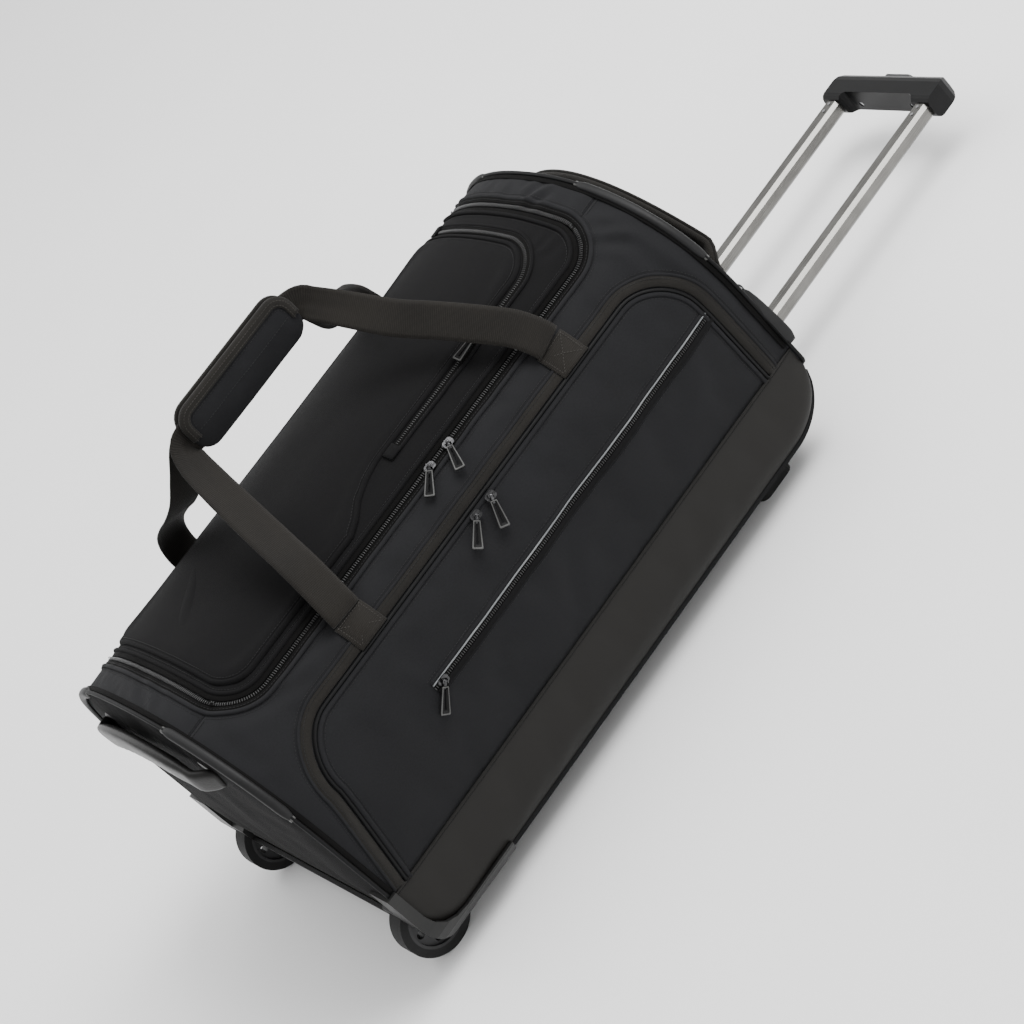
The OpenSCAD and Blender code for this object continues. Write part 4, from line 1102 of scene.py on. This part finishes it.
def make_grab_handle(name, side, gap, half, drop, high, thick, material, is_moulded):
    """An arched handle across an end panel, in millimetres, that curves down to its feet.

    gap is its clearance, half its half width and drop how far its ends lie under its middle. A moulded
    one has a scalloped grip, and a sewn one has bound edges and stitches.
    """
    gap, half, drop = gap * MM, half * MM, drop * MM
    face = x_wheel if side < 0 else x_handle
    reach = half if is_moulded else half + 20 * MM
    y = np.linspace(-reach, reach, 97)
    inward = np.clip((reach - abs(y)) / ((24 if is_moulded else 21) * MM), 0, 1)
    lift = 4 * MM + (gap + 1 * MM) * inward ** 2 * (3 - 2 * inward)
    path = np.stack([face + side * lift, y, GRAB_Z - drop * (y / half) ** 2], 1)
    _, wide, up = ways(path, [1.0, 0, 0])
    up = up * side
    shapes = []
    for v in y:
        end = math.sqrt(np.clip((reach - abs(v)) / (9 * MM), 0.0, 1.0))
        shape = oval(high / 2, thick / 2, 20, 0.62 if is_moulded else 0.74)
        if is_moulded:
            grip = np.clip((half - 34 * MM - abs(v)) / (20 * MM), 0, 1)
            scallop = grip * (2.2 * MM + 1.6 * MM * math.cos(v / (22 * MM) * 2 * math.pi))
            low = shape[:, 0] < 0
            shape[low, 0] *= 1 - scallop / (high * MM / 2)
            shape[:, 1] *= 1 + 0.25 * grip
        shapes.append(shape * np.array([0.62 + 0.38 * end, 0.5 + 0.5 * end]))
    place(sweep(name, path, wide, up, shapes, material), "bag", f"{name}_handle")
    steps = np.linspace(0, 1, 9)
    rings = [oval(15 * k, 17 * k, 20, 0.6) for k in (1.3 if is_moulded else 0.95) - 0.4 * steps ** 0.5]
    out = side * (0.3 * MM + (3 * MM if is_moulded else gap + 2 * MM) * steps)
    at = half - 15 * MM
    for key, sign in (("front", -1), ("back", 1)):
        foot = [(face + x, sign * at, GRAB_Z - drop * (at / half) ** 2) for x in out]
        place(sweep(f"{name}_foot_{key}", foot, [0, 1.0, 0], [0, 0, 1.0], rings, material), "bag")
    if is_moulded:
        return
    for key, off in (("low", -1), ("high", 1)):
        edge = path + wide * off * (high / 2 - 2.2) * MM + up * (thick / 2 - 0.8) * MM
        place(sweep(f"{name}_ridge_{key}", edge, wide, up, oval(2.4, 1.7, 10), binding), "bag")
    lines = [resample(path + up * (thick / 2 + 0.1) * MM + wide * k * MM, 3.6 * MM)[10:-10] for k in (-9, 9)]
    place(beads(f"{name}_stitches", np.vstack(lines), np.vstack([np.gradient(k, axis=0) for k in lines]),
                [float(side), 0, 0], 2.5, 0.42, stitch_dark), "bag")


def make_end_puller():
    """The large soft puller of the handle-end panel's zip, which hangs along the panel's edge."""
    route = smooth_path([(3, -213, 200), (3.5, -217.5, 185), (3.5, -221, 165), (3.5, -223, 145),
                         (3, -223.5, 124)], 6)
    path = route * MM + (x_handle, 0, 0)
    _, wide, up = ways(path, [0, 1.0, 0])
    grow = np.interp(np.linspace(0, 1, len(path)), [0, 0.08, 0.3, 0.9, 1], [0.45, 0.7, 0.8, 1.0, 0.6])
    rings = [oval(6.5 * k, 2.2 * (0.6 + 0.4 * k), 16, 0.6) for k in grow]
    place(sweep("end_zip_puller", path, wide, up, rings, guard), "bag")
    core = slice(6, -4)
    place(sweep("end_zip_puller_core", path[core] + up[core] * 1.2 * MM, wide[core], up[core],
                oval(2.2, 1.6, 10), piping), "bag", slot="guard_rubber")
    loop = np.array([(x_handle + 2 * MM + 4 * MM * math.cos(a), -212 * MM, 203 * MM + 6 * MM * math.sin(a))
                     for a in np.linspace(0, 2 * math.pi, 16, endpoint=False)])
    side = unit(np.cross(np.roll(loop, -1, 0) - np.roll(loop, 1, 0), [0, 1.0, 0]))
    place(sweep("end_zip_ring", loop, side, [0, 1.0, 0], oval(1.0, 1.0, 8), nickel, closed=True), "bag")


make_grab_handle("wheel_end_grab", -1, 12, 125, 28, 34, 11, leather, True)
make_grab_handle("handle_end_grab", 1, 20, 165, 85, 37, 10.5, webbing, False)
make_end_puller()


# ---- carry straps ----

STRAP_W, STRAP_T = 38 * MM, 2.4 * MM
PAD_MIDDLE, PAD_REACH = body_x - 15 * MM, 96 * MM
FRONT_PATH = [(-158, -175.4, 321), (-157, -174, 334), (-153, -162, 355), (-148, -144, 378),
              (-141, -112, 402), (-133, -76, 429), (-125, -42, 453), (-117, -15, 472), (-107, -1.5, 482),
              (-90, -1.5, 483), (-60, -1.5, 483), (30, -1.5, 483), (62, -1.5, 483), (77, -1.5, 479),
              (87, -12, 466), (99, -38, 446), (114, -74, 421), (132, -110, 400), (150, -142, 377),
              (165, -162, 355), (173, -174, 334), (176, -175.4, 321)]
BACK_PATH = [(-158, 175.4, 321), (-158, 174, 334), (-156, 166, 353), (-153, 148, 371), (-149, 118, 388),
             (-144, 84, 404), (-136, 50, 425), (-124, 20, 454), (-109, 1.5, 479), (-90, 1.5, 483),
             (-60, 1.5, 483), (30, 1.5, 483), (62, 1.5, 483), (80, 1.5, 477), (92, 18, 453),
             (104, 44, 429), (118, 76, 409), (135, 110, 391), (152, 142, 373), (166, 163, 353),
             (173, 174, 334), (176, 175.4, 321)]


def make_strap(key, route):
    """A loop of webbing that cups a little and gathers into its pad."""
    path = smooth_path([(body_x + x * MM, y * MM, z * MM) for x, y, z in route], 5)
    _, wide, up = ways(path, [0, 1.0, 0])
    across = np.linspace(-1, 1, 9)
    edge = np.where(np.abs(across) == 1, 0.45, 1.0)
    shapes = []
    for x, run in zip(path[:, 0], run_of(path)):
        near_pad = math.exp(-((abs(x - PAD_MIDDLE) - PAD_REACH) / (16 * MM)) ** 2)
        cup = 0.5 * MM * math.sin(run / (61 * MM)) + 2.6 * MM * near_pad
        fold = cup * (1 - across ** 2) + 0.8 * MM * near_pad * np.cos(across * 9)
        wider = across * (STRAP_W / 2 * (1 - 0.10 * near_pad))
        low, top = (np.stack([wider, fold + sign * STRAP_T / 2 * edge], 1) for sign in (-1, 1))
        shapes.append(np.vstack([low, top[::-1]]))
    made = sweep(f"{key}_strap_webbing", path, wide, up, shapes, webbing)
    give_slot(made)
    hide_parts(f"{key}_loop")
    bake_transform(made)


def make_tabs():
    """The patches that the straps are sewn to, each with a box and a cross of pale stitches."""
    cover = Cover("bag", *side_panels)
    for end, x in zip(("wheel_end", "handle_end"), tab_x):
        for side, sign in (("front", -1), ("back", 1)):
            a, b = girth_at_y(sign * 193 * MM), girth_at_y(sign * 171 * MM)
            name = f"strap_tab_{end}_{side}"
            first = end == "wheel_end" and sign < 0
            strip(name, resample([(x, a), (x, b)], 3 * MM), flat(-19.5, 19.5, 0.8, 3.4, 0.9), webbing, cover,
                  *(["strap_tabs"] if first else []))
            wide, a, b = 16 * MM, a - sign * 2.5 * MM, b + sign * 2.5 * MM
            box = loop_of(np.array([(x - wide, a), (x + wide, a), (x + wide, b), (x - wide, b)]))
            lines = [box[i:i + 2] for i in range(4)] + [box[[0, 2]], box[[1, 3]]]
            seam(f"{name}_stitches", lines, cover, 3.5, stitch_pale, pitch=3.2, length=2.2)


make_strap("front", FRONT_PATH)
make_strap("back", BACK_PATH)
make_tabs()


def pillow(name, outline, at, outer, inner, material, step=5 * MM):
    """A closed pad: outer(points, edge) and inner are its two faces' heights over a surface."""
    points, faces, edge = fill(outline, step)
    n = len(points)
    verts = np.vstack([at(points[:, 0], points[:, 1], h) for h in (outer(points, edge), inner)])
    sides = dict.fromkeys((f[i - 1], f[i]) for f in faces.tolist() for i in (1, 2, 0))
    shell = [tuple(f) for f in faces] + [tuple(n + i for i in f[::-1]) for f in faces]
    shell += [(b, a, n + a, n + b) for a, b in sides if (b, a) not in sides]
    made = add_mesh(name, verts, shell, material, np.vstack([points, points]))
    edit(made, bmesh.ops.recalc_face_normals)
    settle(made, np.concatenate([np.clip(1.3 - edge / step, 0, 1), np.ones(n)]), 0.002, 2 * MM, 3.0, 0.0)
    return smoothed(made)


def make_pad(key, sign):
    """A grip pad over the webbing, bound over its upper edge, with rows of stitches inside the binding."""
    low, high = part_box(f"{key}_grip_pad")
    body, r = f"{key}_strap", 20 * MM
    outline = np.array([p for cx, cz, turn in ((high.x - r, high.z - r, 0), (low.x + r, high.z - r, 90),
                                               (low.x + r, low.z + r, 180), (high.x - r, low.z + r, 270))
                        for p in arc(cx, cz, r, turn, turn + 90, 9)])
    at = plane(1, sign * min(abs(low.y), abs(high.y)), sign)
    outwards = [0, float(sign), 0]

    def outer(points, edge):
        wave = 0.7 * MM * ripple(points, 0.05, 51.0 + sign)
        return 2.6 * MM + 5.4 * MM * (1 - np.exp(-(edge / (11 * MM)) ** 1.3)) + wave

    pad = place(pillow(f"{key}_pad", outline, at, outer, 0.2 * MM, nylon), body, f"{key}_grip_pad")
    rim_z = low.z + 0.4 * (high.z - low.z)
    rim = resample([(high.x, rim_z), *outline[:18], (low.x, rim_z)])
    out = -normals_of(rim)
    profile = points_mm((-1.7, -9), (-1.8, 0.2), (-1, 1.2), (1.4, 1.5), (3.0, 0.4), (4.3, -3.5), (5.4, -9.0),
                        (4.6, -9.4))
    place(sweep(f"{key}_pad_binding", at(*rim.T, 1.9 * MM), outwards, np.insert(out, 1, 0, 1), profile,
                binding), body)
    middle_z, inset = (low.z + high.z) / 2, 14 * MM
    seam(f"{key}_pad_stitches", [np.array([(low.x + inset, middle_z), (high.x - inset, middle_z)]),
                                 offset(rim, 12)[3:-3]], Cover(body, pad, at=at), 0.1, radius=0.5)
    rows = [at(*resample(offset(rim, off), 3.4 * MM).T, h * MM) for off, h in ((7.2, 6.8), (2.5, 5.9))]
    along = np.vstack([np.gradient(row, axis=0) for row in rows])
    place(beads(f"{key}_pad_edge_stitches", np.vstack(rows), along, outwards, 2.3, 0.42, stitch_pale), body)


make_pad("front", -1)
make_pad("back", 1)


# ---- inside the bag ----

def make_pocket_lining():
    low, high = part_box("pocket_lining")
    well, shelf, x0, x1 = x_axle + 50 * MM, 92 * MM, low.x + 4 * MM, high.x - 4 * MM
    top, foot = high.z - 6 * MM, low.z + 3 * MM
    outline = [(x0, top), (x0, shelf), (well, shelf), (well, foot), (high.x - 68 * MM, foot), (x1, shelf),
               (x1, top)]
    sheet_panel("pocket_lining_cloth", "bag", ["pocket_lining"], outline, lining,
                lambda points, edge: 1.2 * MM * ripple(points, 0.09, 61.0), 0.0, 4,
                at=plane(1, high.y - 1 * MM, -1), thick=1.2)


def make_rail_cover():
    low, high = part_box("rail_cover")
    half, top, foot, r = high.y - 1 * MM, high.z - 1 * MM, low.z + 1 * MM, 14 * MM
    walls = np.array([(half, foot), (half, top - r)] + arc(half - r, top - r, r, 0, 90, 7)[1:] + [(0, top)])
    walls = np.vstack([walls, walls[-2::-1] * (-1, 1)])
    run = run_of(walls)
    run -= run[-1] / 2
    columns = (*walls.T, -np.gradient(walls[:, 1]), np.gradient(walls[:, 0]))

    def at(x, u, h=0.0):
        x, u, h = floats(x, u, h)
        y, z, ny, nz = (np.interp(u, run, column) for column in columns)
        size = np.maximum(np.hypot(ny, nz), 1e-9)
        return np.stack([x, y - h * ny / size, z - h * nz / size], -1)
    bend, inset = x_handle - 72 * MM, 60 * MM
    outline = [(low.x, run[0]), (bend, run[0]), (high.x, run[0] + inset), (high.x, run[-1] - inset),
               (bend, run[-1]), (low.x, run[-1])]
    sheet_panel("rail_cover_cloth", "bag", ["rail_cover"], outline, lining,
                lambda points, edge: 1.0 * MM * ripple(points, 0.07, 66.0) - 0.5 * MM, 0.0, 4, at=at,
                thick=1.5)


make_pocket_lining()
make_rail_cover()


# ---- hard parts carried over from the CAD ----

PULLERS = ("main_{}_a", "main_{}_b", "pocket_{}_a", "pocket_{}_b", "panel_{}", "lid_pocket_{}")
HARD = (    # material, the edges' radius in millimetres, nodes
    (tyre_rubber, 0.0, ("front_tyre", "back_tyre")),
    (hub_plastic, 0.6, ("front_hub", "back_hub")),
    (steel, 0.0, ("front_bearings", "back_bearings", "lock_pins", "push_rods", "button_springs")),
    (steel, 0.5, ("axles", "fixed_fasteners", "handle_fasteners")),
    (board, 0.5, ("base_board", "rail_brackets")),
    (moulded, 1.2, ("base_tray", "wheel_housings", "feet_and_skids", "handle_bezel", "slide_blocks")),
    (aluminium, 0.7, ("inner_tubes", "rails")),
    (gloss, 2.5, ("grip_shell", "grip_cover")),
    (button, 0.8, ("release_button",)),
    (nickel, 0.45, [name.format("slider") for name in PULLERS]),
)


def finish_hard_parts():
    for material, radius, names in HARD:
        for node in (frame["nodes"][name] for name in names):
            for made in (o for o in (node, *node.children_recursive) if o.type == "MESH"):
                made.data.materials.clear()
                made.data.materials.append(material)
                if radius:
                    edge = made.modifiers.new("edges", "BEVEL")
                    edge.width = radius * MM
                    edge.segments = 2
                    edge.limit_method = "ANGLE"
                    edge.angle_limit = math.radians(38)
                    edge.harden_normals = True


def make_puller(puller):
    """A soft tab with a raised rim and a slot, wider at its free end, on a folded eye round the pin."""
    body = puller.format("puller")
    corners = np.array([v.co for v in frame["nodes"][body].data.vertices])
    slider_low, slider_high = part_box(puller.format("slider"))
    centre = (corners.min(0) + corners.max(0)) / 2
    along, _, up = np.linalg.svd(corners - corners.mean(0), full_matrices=False)[2]
    if np.dot(along, centre - np.array((slider_low + slider_high) / 2)) < 0:
        along = -along
    if up[2] < 0:
        up = -up
    wide = np.cross(up, along)
    (start, stop), sides, (low, high) = (((corners @ axis).min(), (corners @ axis).max())
                                         for axis in (along, wide, up))
    eye_r = (high - low) / 2
    pin = along * (start + eye_r) + wide * sum(sides) / 2 + up * (low + high) / 2
    neck, tip = eye_r + 3.5 * MM, stop - start - eye_r + 1.5 * MM
    side = [(u, 3.4 + 2.2 * u) for u in np.linspace(0, 1, 9)]
    edge = [(neck + (tip - neck) * u, w * MM)
            for u, w in ((0.0, 2.2), *side[:-1], (0.97, 5.5), (1.0, 4.6), (1.0, 1.5))]
    ring = edge + [(u, -w) for u, w in edge[::-1]]
    hole = [(neck + (u - neck) * 0.72 + 0.12 * (tip - neck), w * 0.2) for u, w in ring]
    section = ((0.0, -1.0), (0.0, 0.9), (0.1, 1.3), (0.36, 1.3), (0.44, 0.5), (1.0, 0.4), (1.0, -0.6),
               (0.5, -1.0))
    verts = [pin + along * (u + (hu - u) * share) + wide * (w + (hw - w) * share) + up * h * MM
             for (u, w), (hu, hw) in zip(ring, hole) for share, h in section]
    n, m = len(ring), len(section)
    faces = [(i * m + j, i * m + (j + 1) % m, (i + 1) % n * m + (j + 1) % m, (i + 1) % n * m + j)
             for i in range(n) for j in range(m)]
    tab = add_mesh(f"{body}_tab", verts, faces, puller_rubber)
    # The rim faces take the lighter colour, a painted highlight along the tab's raised edges
    tab.data.materials.append(puller_rim_painted_highlight)
    for i, face in enumerate(tab.data.polygons):
        face.material_index = int(i % m in (1, 2))
    place(tab, body, body)
    r = eye_r - 0.35 * MM
    route = [(neck + 3 * MM, 0.35 * MM), (r + 1.2 * MM, 0.55 * MM)]
    bend = [(r * math.cos(t), r * math.sin(t)) for t in np.radians(np.linspace(35, 325, 15))]
    path = np.array([pin + along * u + up * v for u, v in route + bend + [(u, -v) for u, v in route[::-1]]])
    thick = unit(np.cross(np.gradient(path, axis=0), wide))
    place(sweep(f"{body}_eye", path, wide, thick, oval(1.6, 0.35, 10, 0.6), nickel), body)


finish_hard_parts()
for name in PULLERS:
    make_puller(name)
